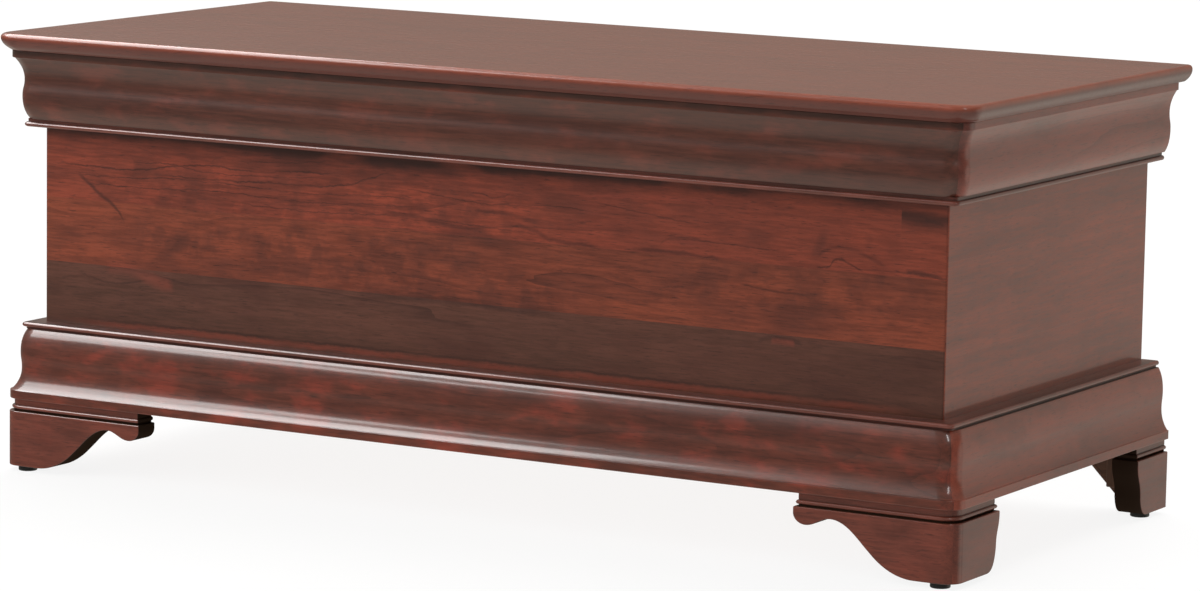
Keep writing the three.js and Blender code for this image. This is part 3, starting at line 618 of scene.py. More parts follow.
redBoard = {"light": (140, 59, 34), "dark": (96, 40, 25)}
topBoard = {"light": (140, 58, 34), "dark": (94, 39, 25)}
midBoard = {"light": (130, 58, 33), "dark": (88, 39, 24)}
brownBoard = {"light": (91, 51, 38), "dark": (66, 38, 27)}
sideBoard = {**redBoard, "blotchStrength": 0.15, "lineStrength": 0.22}

# The front's figure, with painted light and shade among it: a painted reflection above the base bead, a painted
# shadow under the upper bead, and painted shade towards the right. Each kind of mark has the share of its length that
# fades at each end, the share of its width that is solid and its tint, and then each mark's width, strength, and
# places across and up the panel
frontMarks = {
    "red": (0.12, 0.0, "fleckAndReflection", [
        # A painted reflection of the base bead's lit ledge, in the panel's coat just above it
        (10, 0.45, (-583, 179.4), (0, 179), (583, 179.4)),
        (18, 0.35, (-500, 244), (-470, 246), (-438, 238), (-400, 229)),
        (7, 0.4, (131, 376), (193, 382), (244, 384), (330, 383)),
        (10, 0.4, (376, 239), (390, 241), (406, 240)),
        (9, 0.3, (240, 333), (262, 338), (300, 336)),
        (14, 0.25, (-400, 366), (-300, 367), (-200, 371)),
    ]),
    # Painted shadow of the upper bead and moulding along the top of the front panel
    "shade": (0.02, 0.0, "line", [
        (32, 0.95, (-600, 404), (-420, 405), (-300, 402), (-200, 399), (-60, 398), (80, 402), (300, 403), (600, 404)),
        (56, 0.4, (-600, 410), (-300, 404), (-100, 398), (60, 398), (300, 405), (600, 406)),
        (34, 0.85, (528, 388), (560, 386), (620, 384)),
    ]),
    "mottle": (0.2, 0.3, "blotch", [
        (66, 0.42, (-520, 282), (-300, 280), (-120, 284), (90, 280)),
        (46, 0.45, (-220, 268), (-100, 262), (40, 266), (160, 262)),
        (60, 0.35, (-560, 350), (-300, 345), (-100, 350), (160, 345)),
        (50, 0.35, (200, 290), (330, 296), (460, 300), (583, 300)),
    ]),
    "smudgeAndShade": (0.4, 0.0, "blotch", [
        # The first three are painted shade, darkening the panel towards its right end
        (110, 0.42, (-80, 362), (200, 354), (900, 352)),
        (90, 0.3, (-100, 214), (400, 210), (1100, 206)),
        (60, 0.5, (430, 206), (560, 214), (700, 222)),
        (34, 0.65, (444, 380), (434, 350), (422, 318)),
        (30, 0.6, (490, 376), (490, 336)),
        (40, 0.5, (-372, 314), (-394, 288), (-414, 264), (-438, 240)),
        (26, 0.35, (-333, 312), (-333, 286)),
        (28, 0.35, (-285, 306), (-283, 268)),
        (24, 0.35, (-235, 324), (-230, 300)),
        (24, 0.35, (-157, 320), (-153, 296)),
        (30, 0.35, (-222, 284), (-218, 259)),
        (30, 0.35, (-148, 288), (-144, 264)),
        (26, 0.35, (-107, 317), (-97, 298)),
        (28, 0.35, (-75, 308), (-71, 279)),
        (34, 0.35, (-43, 295), (-19, 286), (18, 262)),
        (60, 0.6, (340, 262), (385, 266), (430, 268), (480, 262)),
        (46, 0.3, (520, 300), (583, 296)),
        (20, 0.45, (-60, 326), (0, 322), (60, 318)),
    ]),
    "line": (0.12, 0.08, "line", [
        (2, 0.6, (-575, 352), (-480, 352), (-400, 356), (-330, 356), (-240, 353), (-150, 356), (-60, 360)),
        (2, 0.55, (-560, 343), (-450, 342), (-340, 346), (-240, 343), (-130, 347), (-40, 351)),
        (1.8, 0.55, (-480, 368), (-420, 372), (-350, 367), (-290, 367), (-230, 370), (-190, 374)),
        (1.8, 0.5, (-300, 384), (-250, 386), (-205, 390), (-180, 395)),
        (1.8, 0.5, (-90, 372), (-30, 362), (40, 360), (110, 364), (160, 360)),
        (2, 0.5, (-330, 335), (-200, 333), (-80, 338), (20, 334), (110, 330)),
        (2.6, 0.65, (-582, 362), (-527, 362), (-462, 362), (-410, 369), (-353, 375), (-283, 372), (-246, 376),
            (-178, 379), (-160, 391)),
        (2.6, 0.65, (-436, 359), (-365, 359), (-277, 361), (-202, 363), (-165, 367), (-144, 374), (-117, 383),
            (-96, 390)),
        (2, 0.35, (-352, 377), (-340, 385), (-309, 387)),
        (1.8, 0.3, (-455, 390), (-429, 382)),
        (7, 0.6, (-538, 354), (-518, 339), (-497, 325), (-484, 316), (-470, 298)),
        (2.4, 0.45, (-7, 369), (11, 371), (27, 368), (51, 376)),
        (6, 0.45, (-2, 350), (38, 351), (64, 348), (90, 343)),
        (6, 0.5, (49, 341), (80, 335), (99, 327), (130, 325), (166, 324)),
        (2.2, 0.4, (152, 372), (193, 368), (232, 364), (287, 358)),
        (7.5, 0.45, (-122, 341), (-41, 334), (28, 326)),
        (5.5, 0.45, (194, 322), (250, 326), (288, 324), (318, 323)),
        (3.4, 0.5, (235, 329), (245, 338), (265, 343), (290, 342)),
        (2, 0.35, (238, 340), (285, 341), (332, 339), (369, 338), (402, 342)),
        (3.4, 0.55, (427, 324), (444, 325), (449, 332), (459, 335), (471, 330), (486, 323)),
        (6, 0.35, (428, 333), (448, 346), (470, 347), (493, 339), (516, 331)),
        (5.5, 0.55, (534, 328), (561, 327), (582, 323)),
        (5.5, 0.4, (556, 386), (580, 381)),
        (4, 0.4, (333, 300), (370, 295), (403, 293), (440, 294)),
        (2.4, 0.35, (239, 287), (270, 288)),
        (3, 0.5, (-566, 226), (-526, 233), (-493, 228), (-461, 231), (-435, 236)),
        (4, 0.5, (-583, 184.5), (-300, 184), (0, 184.8), (300, 184), (583, 184.5)),
        (7, 0.4, (360, 237), (376, 243), (398, 244), (416, 239)),
        (12, 0.4, (-150, 248), (-90, 246), (-20, 249), (60, 247), (130, 248)),
    ]),
}

# Each panel's start in the log and its lowest board's tones. Then, for each board above it, its lower edge, its shift
# in the log and its tones. Places in the log are in metres.
panels = {
    "front": ((0.31, 0.335, -0.205), brownBoard, [
        (247.4, (0.57, 0.02, -0.078), midBoard), (322.4, (0.83, -0.015, -0.083), topBoard),
    ]),
    "back": ((1.7, -0.16, -0.24), redBoard, [
        (231.4, (0.6, 0.03, -0.09), redBoard), (331.4, (0.9, -0.02, -0.1), redBoard),
    ]),
    "left": ((2.3, 0.675, -0.22), sideBoard, [
        (247.4, (0.41, 0.02, -0.08), redBoard), (353.4, (0.77, -0.02, -0.09), redBoard),
    ]),
    "right": ((2.9, -0.475, -0.22), sideBoard, [
        (239.4, (0.37, 0.02, -0.08), redBoard), (341.4, (0.71, -0.02, -0.09), redBoard),
    ]),
}

leafSeat = {"length": 76.4, "reach": 16.2, "depth": 2.2}
hingeMiddles = [float(middleOf(f"hinge_{name}_pin")[0]) for name in ("left", "middle", "right")]


def leafSeats(low, high):
    half, front, rear = leafSeat["length"] / 2, rearY - leafSeat["reach"], rearY + beyond
    return cutters([((x - half, front, low), (x + half, rear, high)) for x in hingeMiddles])


def addPanels():
    board, easing = case["board"], case["topEasing"]
    profile = eased([(0, caseBottom), (0, caseTop), (-board, caseTop), (-board, caseBottom)], [0, easing, easing, 0])
    radius = np.where(profile[:, 0] > -easing - 0.01, case["cornerRadius"], 0)
    for side, (start, tones, joints) in panels.items():
        inside = intoCase(side), board - np.dot(sides[side][0], sides[side][2])
        marks, grain = frontMarks if side == "front" else None, "x" if side in ("front", "back") else "y"
        finish = cherry(f"{side}PanelCherry", grain, start, joints, marks=marks, inside=inside, **tones)
        mesh = sweep(side, profile, radius, ("mitre", "mitre"))
        if side == "back":
            mesh = carve(mesh, leafSeats(caseTop - leafSeat["depth"], caseTop + beyond))
        showPiece("cherry", f"{side}_panel", mesh, finish, "carcass")


addPanels()
print("panels made")

mouldingCornerRadius = 22
ogees = {  # the heights and steps of the fillet, and how far each part stands off the case
    "upper": {"fillet": 9, "filletOffset": 33.8, "step": 1.6, "cove": 23.8, "belly": 25.6, "edge": 19.2},
    "base": {"fillet": 10.4, "filletOffset": 35.6, "step": 1.6, "cove": 26, "belly": 27, "edge": 20.5},
}
ogeeShares = {"coveBend": 0.26, "coveFoot": 0.43, "belly": 0.67, "bellyBend": 0.88}  # of the height, from the fillet
filletEasings = (1.2, 0.9, 0.5)  # its two arrises and the step
edgeEasing = 0.5
beadCornerRadius = 6
beads = {"upper": {"nose": 5.4, "tip": 19, "neck": 16}, "base": {"nose": 5.4, "tip": 20.9, "neck": 17.4}}
moulded = {  # start in the log, and how the two ends are cut
    "front": ((4.1, 0.37, -0.12), ("mitre", "mitre")),
    "left": ((5.2, 0.62, -0.12), ("square", "mitre")),
    "right": ((6.3, -0.5, -0.12), ("mitre", "square")),
}
mouldingStain = {"lineStrength": 0.4, "hollows": 1.0, "coatRoughness": 0.14}
mouldingTones = {
    "upper": {"light": (86, 42, 28), "dark": (56, 28, 20), "curl": 0.06, "patches": 0.2},
    "base": {"light": (106, 48, 32), "dark": (66, 32, 22), "fleckAndReflection": (156, 54, 36), "patches": 0.36},
    "upperSide": {"light": (132, 60, 44), "dark": (102, 48, 36), "curl": 0.06},
    "baseSide": {"light": (134, 58, 38), "dark": (102, 45, 30), "curl": 0.06},
    "bead": {"light": (114, 54, 41), "dark": (86, 42, 32), "curl": 0.04},
}
lidShadow = {"full": 3, "gone": 9, "tint": (0.45, 0.5, 0.5)}  # painted shadow of the lid, below the top of the front's upper moulding
cornerShade = {"full": 17, "gone": 9, "tint": (0.6, 0.64, 0.7)}  # ahead of the case, on the sides' upper mouldings


def ogeeProfile(shape, height):
    # Fillet with eased arrises, hollow cove, round belly and a thin edge, as curves between shares of the height
    cove, belly, fillet = shape["cove"], shape["belly"], shape["filletOffset"]
    coveFoot, bellyFoot = height * ogeeShares["coveFoot"], height * ogeeShares["belly"]
    middle = (coveFoot + bellyFoot) / 2
    step = (fillet - shape["step"], shape["fillet"])
    edge = (shape["edge"], height)
    curve = np.concatenate([
        bezier([step, (cove, height * ogeeShares["coveBend"]), (cove, coveFoot)], 18)[1:],
        bezier([(cove, coveFoot), (cove, middle), (belly, middle), (belly, bellyFoot)], 14)[1:],
        bezier([(belly, bellyFoot), (belly, height * ogeeShares["bellyBend"]), edge], 18)[1:],
    ])
    corners = [(glueLine, 0), (fillet, 0), (fillet, shape["fillet"]), step, *curve, (glueLine, height)]
    reach = np.zeros(len(corners))
    reach[1:4] = filletEasings
    reach[-2] = edgeEasing
    return eased(corners, reach)


def beadProfile(shape, height):
    # A half-round nose and the neck that makes the quirk beside it
    radius = shape["nose"] / 2
    nose = arcPoints((shape["tip"] - radius, radius), radius, -90, 90, 16)
    neck = [(shape["neck"], shape["nose"]), (shape["neck"], height)]
    return np.array([(glueLine, 0), *nose, *neck, (glueLine, height)])


def addMouldings():
    kinds = {"upper_moulding": True, "upper_bead": False, "base_bead": True, "base_moulding": False}  # turned over
    for side, (start, ends) in moulded.items():
        finishes = {}
        for part in ("upper", "base", "bead"):
            tones = dict(mouldingTones[part if side == "front" or part == "bead" else f"{part}Side"])
            if part == "upper" and side == "front":
                top = heightsOf("front_upper_moulding")[1]
                tones["fade"] = (2, top - lidShadow["full"], top - lidShadow["gone"], lidShadow["tint"])
            elif part == "upper":
                tones["fade"] = (1, frontY - cornerShade["full"], frontY - cornerShade["gone"], cornerShade["tint"])
            grain = "x" if side == "front" else "y"
            finishes[part] = cherry(f"{side}{part.title()}Cherry", grain, start, **tones, **mouldingStain)
        for kind, turnedOver in kinds.items():
            node = f"{side}_{kind}"
            level, form = kind.split("_")
            low, high = heightsOf(node)
            if form == "moulding":
                profile, bend, finish = ogeeProfile(ogees[level], high - low), mouldingCornerRadius, finishes[level]
            else:
                profile, bend, finish = beadProfile(beads[level], high - low), beadCornerRadius, finishes["bead"]
            profile[:, 1] = high - profile[:, 1] if turnedOver else low + profile[:, 1]
            radius = np.where(profile[:, 0] > 2 * glueLine, bend, case["cornerRadius"])
            mesh = sweep(side, profile, radius, ends, hollowness(profile))
            showPiece("cherry", node, mesh, finish, "carcass")


addMouldings()
print("mouldings made")

foot = {"stock": 32, "offset": 35.2, "cornerRadius": 19, "easing": 0.8, "faceHeight": 64.6, "shoulder": 1.2}
footBottom, footTop = heightsOf("front_left_foot_front_bracket")
footNeck = {"quirk": 30.7, "quirkRise": 0.1, "beadRadius": 2.4, "beadHeight": 69.2, "recess": 31, "recessHeight": 72.8}
# Painted shade on the feet: round the cut edge's arris, from the cut edge out to the face, and across the wing's end
footPaintedShade = {"arris": (0.85, 0.6, 0.3, 0), "end": (0.35, 0.9)}
footStain = {
    # after light and dark, a dark matte colour that is painted shade on the feet's cut edges, ends and backs
    "light": (116, 55, 40), "dark": (84, 40, 30), "paintedShadeUnder": (38, 28, 21),
    "lineStrength": 0.4, "patches": 0.15, "hollows": 0.85,
}
braceStain = {"light": (92, 64, 46), "dark": (66, 45, 32), "coat": 0, "roughness": (0.55, 0.66)}

# Control points of each wing's lower edge, measured in from the case's corner and up from the foot's underside
wings = {
    "front": [
        [(13, 0), (35.8, 0), (54, 12), (66, 24)],
        [(66, 24), (79.8, 36), (93.7, 55), (113, 55)],
        [(113, 55), (124.4, 55), (131.6, 45.6), (143, 45.6)],
        [(143, 45.6), (152, 45.6), (158, 51.8), (158, 58)],
    ],
    "side": [[(43, 0), (55.6, 0), (61.5, 8.7), (64, 26)], [(64, 26), (64, 45), (71, 45), (71, 62)]],
    "rear": [[(52, 0), (64, 0), (69.6, 6.7), (72, 20)], [(72, 20), (72, 42), (81.5, 42), (81.5, 62)]],
}
hands = {"left": -1, "right": 1}


def footLevels():
    # Offsets and heights above the eased lower arris: face, quirk, bead and recess
    outer, face, shoulder = foot["offset"], foot["faceHeight"], foot["shoulder"]
    quirk, recess = footNeck["quirk"], footNeck["recess"]
    return np.concatenate([
        bezier([(outer, face - shoulder), (outer, face), (outer - shoulder, face)], 4),
        [(quirk, face + footNeck["quirkRise"])],
        arcPoints((quirk, footNeck["beadHeight"]), footNeck["beadRadius"], -90, 90, 12),
        [(recess, footNeck["recessHeight"]), (recess, footTop - footBottom)],
    ])


def stationsOf(along, outward, lowHeights, highHeights):
    # One point for each station and row: along the wing, out from the case and up
    low = np.broadcast_to(lowHeights, (len(along), np.shape(lowHeights)[-1]))
    high = np.broadcast_to(highHeights, (len(along), len(highHeights)))
    return np.dstack([along, np.broadcast_to(outward, along.shape), np.hstack([low, high])])


def bracket(corner, direction, out, curves, mitred):
    # Grid of stations along the wing by levels up its face. The lowest rows follow the cut edge and round its arris:
    # edge + normal * e(1 - cos p), offset - e(1 - sin p). Higher rows share out the same stations over their own
    # length, which ends as far short of the reach as they stand back from the face, so that the bead turns the end.
    easing, radius, outer = foot["easing"], foot["cornerRadius"], foot["offset"]
    inner = outer - foot["stock"]
    edge = np.concatenate([bezier(curve, 22)[(k > 0):] for k, curve in enumerate(curves)])
    if not mitred:
        edge = np.concatenate([[(0, 0)], edge])
    tangent = np.gradient(edge, axis=0)
    tangent[-1] = (0, 1)
    turn = np.radians([0, 30, 60, 90])
    drawnIn = easing * (1 - np.cos(turn))
    levels = footLevels()
    offset = np.append(outer - easing * (1 - np.sin(turn)), levels[:, 0])
    rows, low = len(offset), len(turn)

    reach = edge[-1, 0]
    end = reach - (outer - offset)
    begin = radius - offset if mitred else 0 * offset
    arris = edge[:, None] - normalsOf(tangent)[:, None] * drawnIn[:, None]
    share = (edge[:, :1] - begin[low]) / (reach - begin[low])
    face = np.minimum(begin[low:] + share * (end - begin)[low:], end[low:] - easing)
    face[-1] = end[low:] - easing
    grid = stationsOf(np.hstack([arris[..., 0], face]), offset, arris[..., 1], levels[:, 1])

    # Round the upright arris at the wing's end, and on a mitred wing the case's corner before its start
    tips = np.minimum(turn[-2::-1, None], np.append(turn, np.full(len(levels), turn[-1])))
    endAlong, endOut = np.where(np.arange(rows) < low, [[reach], [outer]], [end, offset])
    endAlong, endOut = endAlong - easing * (1 - np.cos(tips)), endOut - easing * (1 - np.sin(tips))
    grid = np.concatenate([grid, stationsOf(endAlong, endOut, np.full(low, edge[-1, 1]), levels[:, 1])])
    if mitred:
        arc = mitredArc(offset, radius)
        grid = np.concatenate([stationsOf(arc[..., 0], arc[..., 1], drawnIn, levels[:, 1]), grid])
    inside = grid[:, ::-1].copy()
    inside[..., 0] = np.maximum(inside[..., 0], -inner + glueLine / 2 if mitred else 0)
    inside[..., 1] = inner

    # Stain glaze and painted shade stand in the hollows, and the cut edge, the wing's end and everything behind it get
    # painted shade
    dusk = np.broadcast_to(np.append(footPaintedShade["arris"], hollowness(levels)), grid.shape[:2]).copy()
    dusk[-len(tips):] = np.maximum(dusk[-len(tips):], np.linspace(*footPaintedShade["end"], len(tips))[:, None])
    dusk = np.hstack([dusk, np.ones(dusk.shape)])

    grid = np.hstack([grid, inside])
    grid = np.dstack([inPlan(grid[..., :2], corner, direction, out), footBottom + grid[..., 2]])
    count, loop = grid.shape[:2]
    step = np.arange(rows - 1)
    strip = np.stack([step, step + 1, loop - 2 - step, loop - 1 - step], -1)
    return closedMesh(grid, loopQuads(count, loop) + strip.tolist() + (strip + (count - 1) * loop).tolist(), dusk)


def addFeet():
    for hand, sign in hands.items():
        brackets = [
            (f"front_{hand}_foot_front_bracket", frontY, (-sign, 0), (0, -1), "front"),
            (f"front_{hand}_foot_side_bracket", frontY, (0, 1), (sign, 0), "side"),
            (f"rear_{hand}_foot_side_bracket", rearY, (0, -1), (sign, 0), "rear"),
        ]
        for count, (node, y, direction, out, wing) in enumerate(brackets):
            start = (7.1 + 1.3 * count + 0.6 * sign, 0.36 - 0.2 * count, -0.06 - 0.03 * count)
            finish = cherry(f"{node}Cherry", "x" if direction[0] else "y", start, **footStain)
            mesh = bracket((sign * halfWidth, y), direction, out, wings[wing], wing != "rear")
            showPiece("cherry", node, mesh, finish, "carcass")


behind = {"outerEdge": -3.1, "padReach": 8, "reach": 87, "corner": 2.5, "easing": 1.2, "blockEasing": 1.5}
glide = {  # the recess as heights and radii, the nail's head as its edge, middle and radius
    "radius": 11, "easing": 1.2, "recess": [(1.7, 4.2), (1.3, 4.6), (0.3, 4.9), (0, 5.4)],
    "nailHead": (1.6, 0.9, 3.4), "nail": 1.5,
}


def addFootBacks():
    # Braces behind the rear feet, glue blocks in the corners, and nailed glides
    braceWood = cherry("braceWood", "x", (11.2, 0.1, 0.3), **braceStain)
    blockWood = cherry("blockWood", "z", (12.1, 0.2, 0.1), **{**clearWood, **braceStain})
    black = nylon("glideNylon")
    for hand, sign in hands.items():
        node = f"rear_{hand}_foot_back_brace"
        low, high = cornersOf(node)
        outer, pad, reach = behind["outerEdge"], behind["padReach"], behind["reach"]
        outline = eased([(outer, low[2]), (pad, low[2]), (reach, high[2]), (outer, high[2])], behind["corner"])
        levels = facesIn(low[1], high[1], behind["easing"])
        mesh = plate(outline, levels, lambda u, v, w: (sign * (halfWidth - u), w, v))
        showPiece("stained", node, mesh, braceWood, "carcass")
        for end in ("front", "rear"):
            node = f"{end}_{hand}_foot_block"
            showPiece("glued", node, easedBoard(node, behind["blockEasing"]), blockWood, "carcass")
            node = f"{end}_{hand}_glide"
            x, y, _ = middleOf(node)
            radius, easing = glide["radius"], glide["easing"]
            edge = arcPoints((easing, radius - easing), easing, 180, 90, 4)
            nail = [(footBottom - glueLine, glide["nail"]), (heightsOf(node)[1], glide["nail"])]
            profile = [*dome(*glide["nailHead"])[::-1], *glide["recess"], *edge, (footBottom, radius), *nail]
            showPiece("nylon", node, turned(profile, (x, y, 0), 2, 40), black, "carcass")


addFeet()
addFootBacks()
print("feet made")

lid = {
    "overhang": 44.6, "frontRadius": 26, "rearRadius": 3, "rearEasing": 1.6,
    "topRound": 5, "under": 9, "underDrop": 7.7, "battenEasing": 3,
}
lidLow, lidHigh = cornersOf("lid_slab")
lidBoard = {"light": (136, 63, 42), "dark": (122, 58, 39)}
lidStain = {
    **lidBoard,
    "lineStrength": 0.3,
    "blotchStrength": 0.18,
    "curl": 0.06,
    "fade": (2, lidHigh[2] - 9, lidHigh[2] - 3, (0.42, 0.45, 0.6)),  # darker below the top arris
    "noseCoat": (lidLow[1] + 4, lidLow[1] + 5.5, 0.6),  # less coat on the front's nose than on the top face
}
lidJoints = {-170: (0.45, -0.1, 0.01), -62: (0.8, -0.11, -0.02), 55: (0.62, -0.12, 0.015), 168: (0.7, -0.11, 0.01)}
bottomJoints = {-96: (0.6, -0.1, 0.02), 48: (0.9, -0.12, 0.03), 157: (0.5, -0.09, 0.02)}


def lidSlab():
    # Loops round the plan, one for each point of the nosed edge. The rear edge is square with a small round
    bottom, top = lidLow[2], lidHigh[2]
    reach, bend, easing = lid["overhang"], lid["topRound"], lid["rearEasing"]
    tip = top - bend
    under = bezier([(reach - lid["under"], bottom), (reach, tip - lid["underDrop"]), (reach, tip)], 16)
    overhang, height = np.concatenate([under, arcPoints((reach - bend, tip), bend, 0, 90, 12)[1:]]).T[..., None]
    into = np.clip(np.maximum(height - (top - easing), bottom + easing - height) / easing, 0, 1)
    rear = lidHigh[1] - easing * (1 - np.sqrt(1 - into**2))
    loops = []
    for sign, first in ((-1, 180), (1, 270), (1, 0), (-1, 90)):
        radius = lid["frontRadius" if first >= 180 else "rearRadius"]
        middleX = sign * (halfWidth + overhang - radius)
        middleY = frontY - overhang + radius if first >= 180 else rear - radius
        angle = np.radians(np.linspace(first, first + 90, 2 * arcSteps + 1))
        loops.append(np.stack([middleX + radius * np.cos(angle), middleY + radius * np.sin(angle)], -1))
    plan = np.concatenate(loops, 1)
    return ringed(np.dstack([plan, np.broadcast_to(height, plan.shape[:2])]))


hingeY, hingeZ = middleOf("hinge_left_pin")[1:]
relief = {"ahead": 4.2, "side": 39.7}  # room for the hinge barrels


def addLid():
    side, ahead, bottom, rear = relief["side"], relief["ahead"], lidLow[2], lidHigh[1] + beyond
    barrels = [((x - side, hingeY - ahead, bottom - beyond), (x + side, rear, bottom + ahead)) for x in hingeMiddles]
    mesh = carve(lidSlab(), leafSeats(bottom - beyond, bottom + leafSeat["depth"]), cutters(barrels))
    joints = [(at, shift, lidBoard) for at, shift in lidJoints.items()]
    finish = cherry("lidCherry", "x", (9.3, -0.1, -0.62), joints, 1, **lidStain)
    showPiece("cherry", "lid_slab", mesh, finish, "lid")
    wood = cherry("battenWood", "y", (13.4, 0.3, -0.4), **clearWood)
    for node in ("lid_batten_left", "lid_batten_right"):
        showPiece("clear", node, easedBoard(node, lid["battenEasing"], 5), wood, "lid")


addLid()
print("lid made")

bottomBoard = {"easing": 0.8, "cleatEasing": 1.5}


def addBottom():
    alongX = cherry("cleatWoodAcross", "x", (14.3, 0.2, 0.3), **clearWood)
    alongY = cherry("cleatWoodDeep", "y", (15.2, 0.4, 0.2), **clearWood)
    joints = [(at, shift, clearWood) for at, shift in bottomJoints.items()]
    joined = cherry("bottomWood", "x", (16.1, -0.2, -0.3), joints, 1, **clearWood)
    woods = {"panel": joined, "cleat_front": alongX, "cleat_back": alongX, "cleat_left": alongY, "cleat_right": alongY}
    for name, wood in woods.items():
        mesh = easedBoard(f"bottom_{name}", bottomBoard["easing" if name == "panel" else "cleatEasing"])
        showPiece("clear", f"bottom_{name}", mesh, wood, "carcass")


addBottom()
print("bottom made")

hinge = {
    "length": 76, "leaf": 2, "knuckle": 3.5, "knuckles": 5, "gap": 0.3, "bore": 1.8, "easing": 0.25, "corner": 0.5,
    "leafGap": 0.04, "screws": [(-28, 6.6), (0, 9), (28, 6.6)],
}
pin = {"radius": 1.7, "head": 2.7, "headLength": 1.5}
screw = {
    "head": 3.1, "flat": 2.9, "arris": 0.2, "depth": 1.9, "shank": 1.4, "length": 3.4, "tip": 1,
    "slot": 0.8, "slotDepth": 0.9,
}
screwSunk, screwProud = 0.15, 0.1  # below the metal that it holds, and above wood
screwPlaces = {"carcass": [], "lid": []}


def copies(mesh, places):
    # The same small mesh stood at each place, its own Z along the way out, turned about it:
    # p = x (a cos t + b sin t) + y (b cos t - a sin t) + z o, where a, b and o are square to each other
    points = np.empty(len(mesh.vertices) * 3)
    mesh.vertices.foreach_get("co", points)
    points = points.reshape(-1, 3) / mm
    centres, outs, turns = (np.array(part, float) for part in zip(*places))
    helper = np.where(np.abs(outs[:, 2:]) > 0.5, [[0.0, 1.0, 0.0]], [[0.0, 0.0, 1.0]])
    first = np.cross(helper, outs)
    second = np.cross(outs, first)
    cos, sin = np.cos(np.radians(turns))[:, None], np.sin(np.radians(turns))[:, None]
    axes = np.stack([first * cos + second * sin, second * cos - first * sin, outs], 1)
    moved = np.einsum("vi,nij->nvj", points, axes) + centres[:, None]
    polygons = [tuple(polygon.vertices) for polygon in mesh.polygons]
    return closedMesh(moved, [[v + k * len(points) for v in each] for k in range(len(places)) for each in polygons])


def screwed(mesh, body, places, *tools):
    # Notes the screws of a metal piece, and cuts the tools given and then the cone-shaped sinkings out of it
    screwPlaces[body] += [(np.array(place) - screwSunk * np.array(out), out, turn) for place, out, turn in places]
    wide, depth, shank = screw["head"] + 0.15, screw["depth"], screw["shank"] + 0.1
    cone = turned([(1, wide + 1), (0, wide), (-depth, shank), (-depth - 3, shank)], axis=2, sides=24)
    return carve(mesh, *tools, copies(cone, places))


def hingeLeaf(node, x, body):
    # The leaf and its barrel are one section along the hinge: a flat that runs into a circle and back.
    # The other leaf's knuckles, the bore and the screw holes are then cut out.
    radius, leaf, corner, gap, count = (hinge[key] for key in ("knuckle", "leaf", "corner", "gap", "knuckles"))
    front, half, step = cornersOf(node)[0][1], hinge["length"] / 2, hinge["length"] / count
    barrel = arcPoints((hingeY, 0), radius, 180, 540 - math.degrees(math.asin(leaf / radius)), 31)
    outline = eased([(front, hinge["leafGap"]), *barrel, (front, leaf)], [corner] + [0] * len(barrel) + [corner])
    onLid = body == "lid"
    if not onLid:
        outline = (outline * (1, -1))[::-1]
    mesh = plate(outline, facesIn(x - half, x + half, hinge["easing"]), lambda u, v, w: (w, u, hingeZ + v))
    notches = []
    for k in range(0 if onLid else 1, count, 2):
        start = x - half + k * step - (gap / 2 if k else beyond)
        end = x - half + (k + 1) * step + (gap / 2 if k < count - 1 else beyond)
        notches.append(((start, hingeY - radius - gap, hingeZ - beyond), (end, hingeY + beyond, hingeZ + beyond)))
    bore = turned([(-half - beyond, hinge["bore"]), (half + beyond, hinge["bore"])], (x, hingeY, hingeZ), sides=24)
    places = [((x + dx, front + dy, hingeZ), (0, 0, -1 if onLid else 1), 20 + 3 * dx) for dx, dy in hinge["screws"]]
    return screwed(mesh, body, places, cutters(notches), bore)


def addHinges():
    metal = brass("hingeBrass")
    end, length = hinge["length"] / 2 + glueLine, pin["headLength"]
    left, right = (dome(sign * end, sign * (end + length), pin["head"]) for sign in (-1, 1))
    profile = [*left[::-1], (-end, pin["radius"]), (end, pin["radius"]), *right]
    for name, x in zip(("left", "middle", "right"), hingeMiddles):
        for leaf, body in (("case", "carcass"), ("lid", "lid")):
            node = f"hinge_{name}_{leaf}_leaf"
            showPiece("brass", node, hingeLeaf(node, x, body), metal, body)
        showPiece("brass", f"hinge_{name}_pin", turned(profile, (x, hingeY, hingeZ)), metal, "carcass")


# Away from the case's side, lengths are measured from its inner face. Profiles are such lengths and radii
stay = {
    "armWidth": 16, "armFrom": 2.5, "armTo": 4.5, "armEasing": 0.4, "farthest": 258.4, "endMargin": 6,
    "slotHalf": 2.8, "holeRadius": 2.52,
    "plateThickness": 2, "plateScrews": 9.8,
    "plate": [
        (0.1, 15), (1.5, 15), (1.85, 14.85), (2, 14.5), (2, 4.5), (2.4, 4.5), (2.4, 2.5), (11.2, 2.5), (11.6, 2.1),
    ],
    "knob": [
        (4.6, 2.62), (4.6, 6.6), (4.9, 7.3), (5.4, 7.5), (9.9, 7.5), (10.5, 7.3), (10.9, 6.6), (11.1, 5.2),
        (11.1, 2.62),
    ],
    "flutes": 12, "flute": 0.35,
    "rivet": 2.4, "rivetHead": 4.5, "rivetFrom": 2.4, "rivetTo": 6.7, "headHeight": 1.3,
    "ear": 9, "earMiddle": 5.6, "earHalf": 1, "earEasing": 0.35, "bend": 2.2, "flangeEnd": 30.6, "flangeCorner": 3,
    "flangeScrews": [(24, -3.6), (14.5, 3.6)],
}


def stadium(near, far, half, steps=12):
    # Two half circles, their centres at near and far along the second axis
    return np.concatenate([arcPoints((0, far), half, 0, 180, steps), arcPoints((0, near), half, 180, 360, steps)])


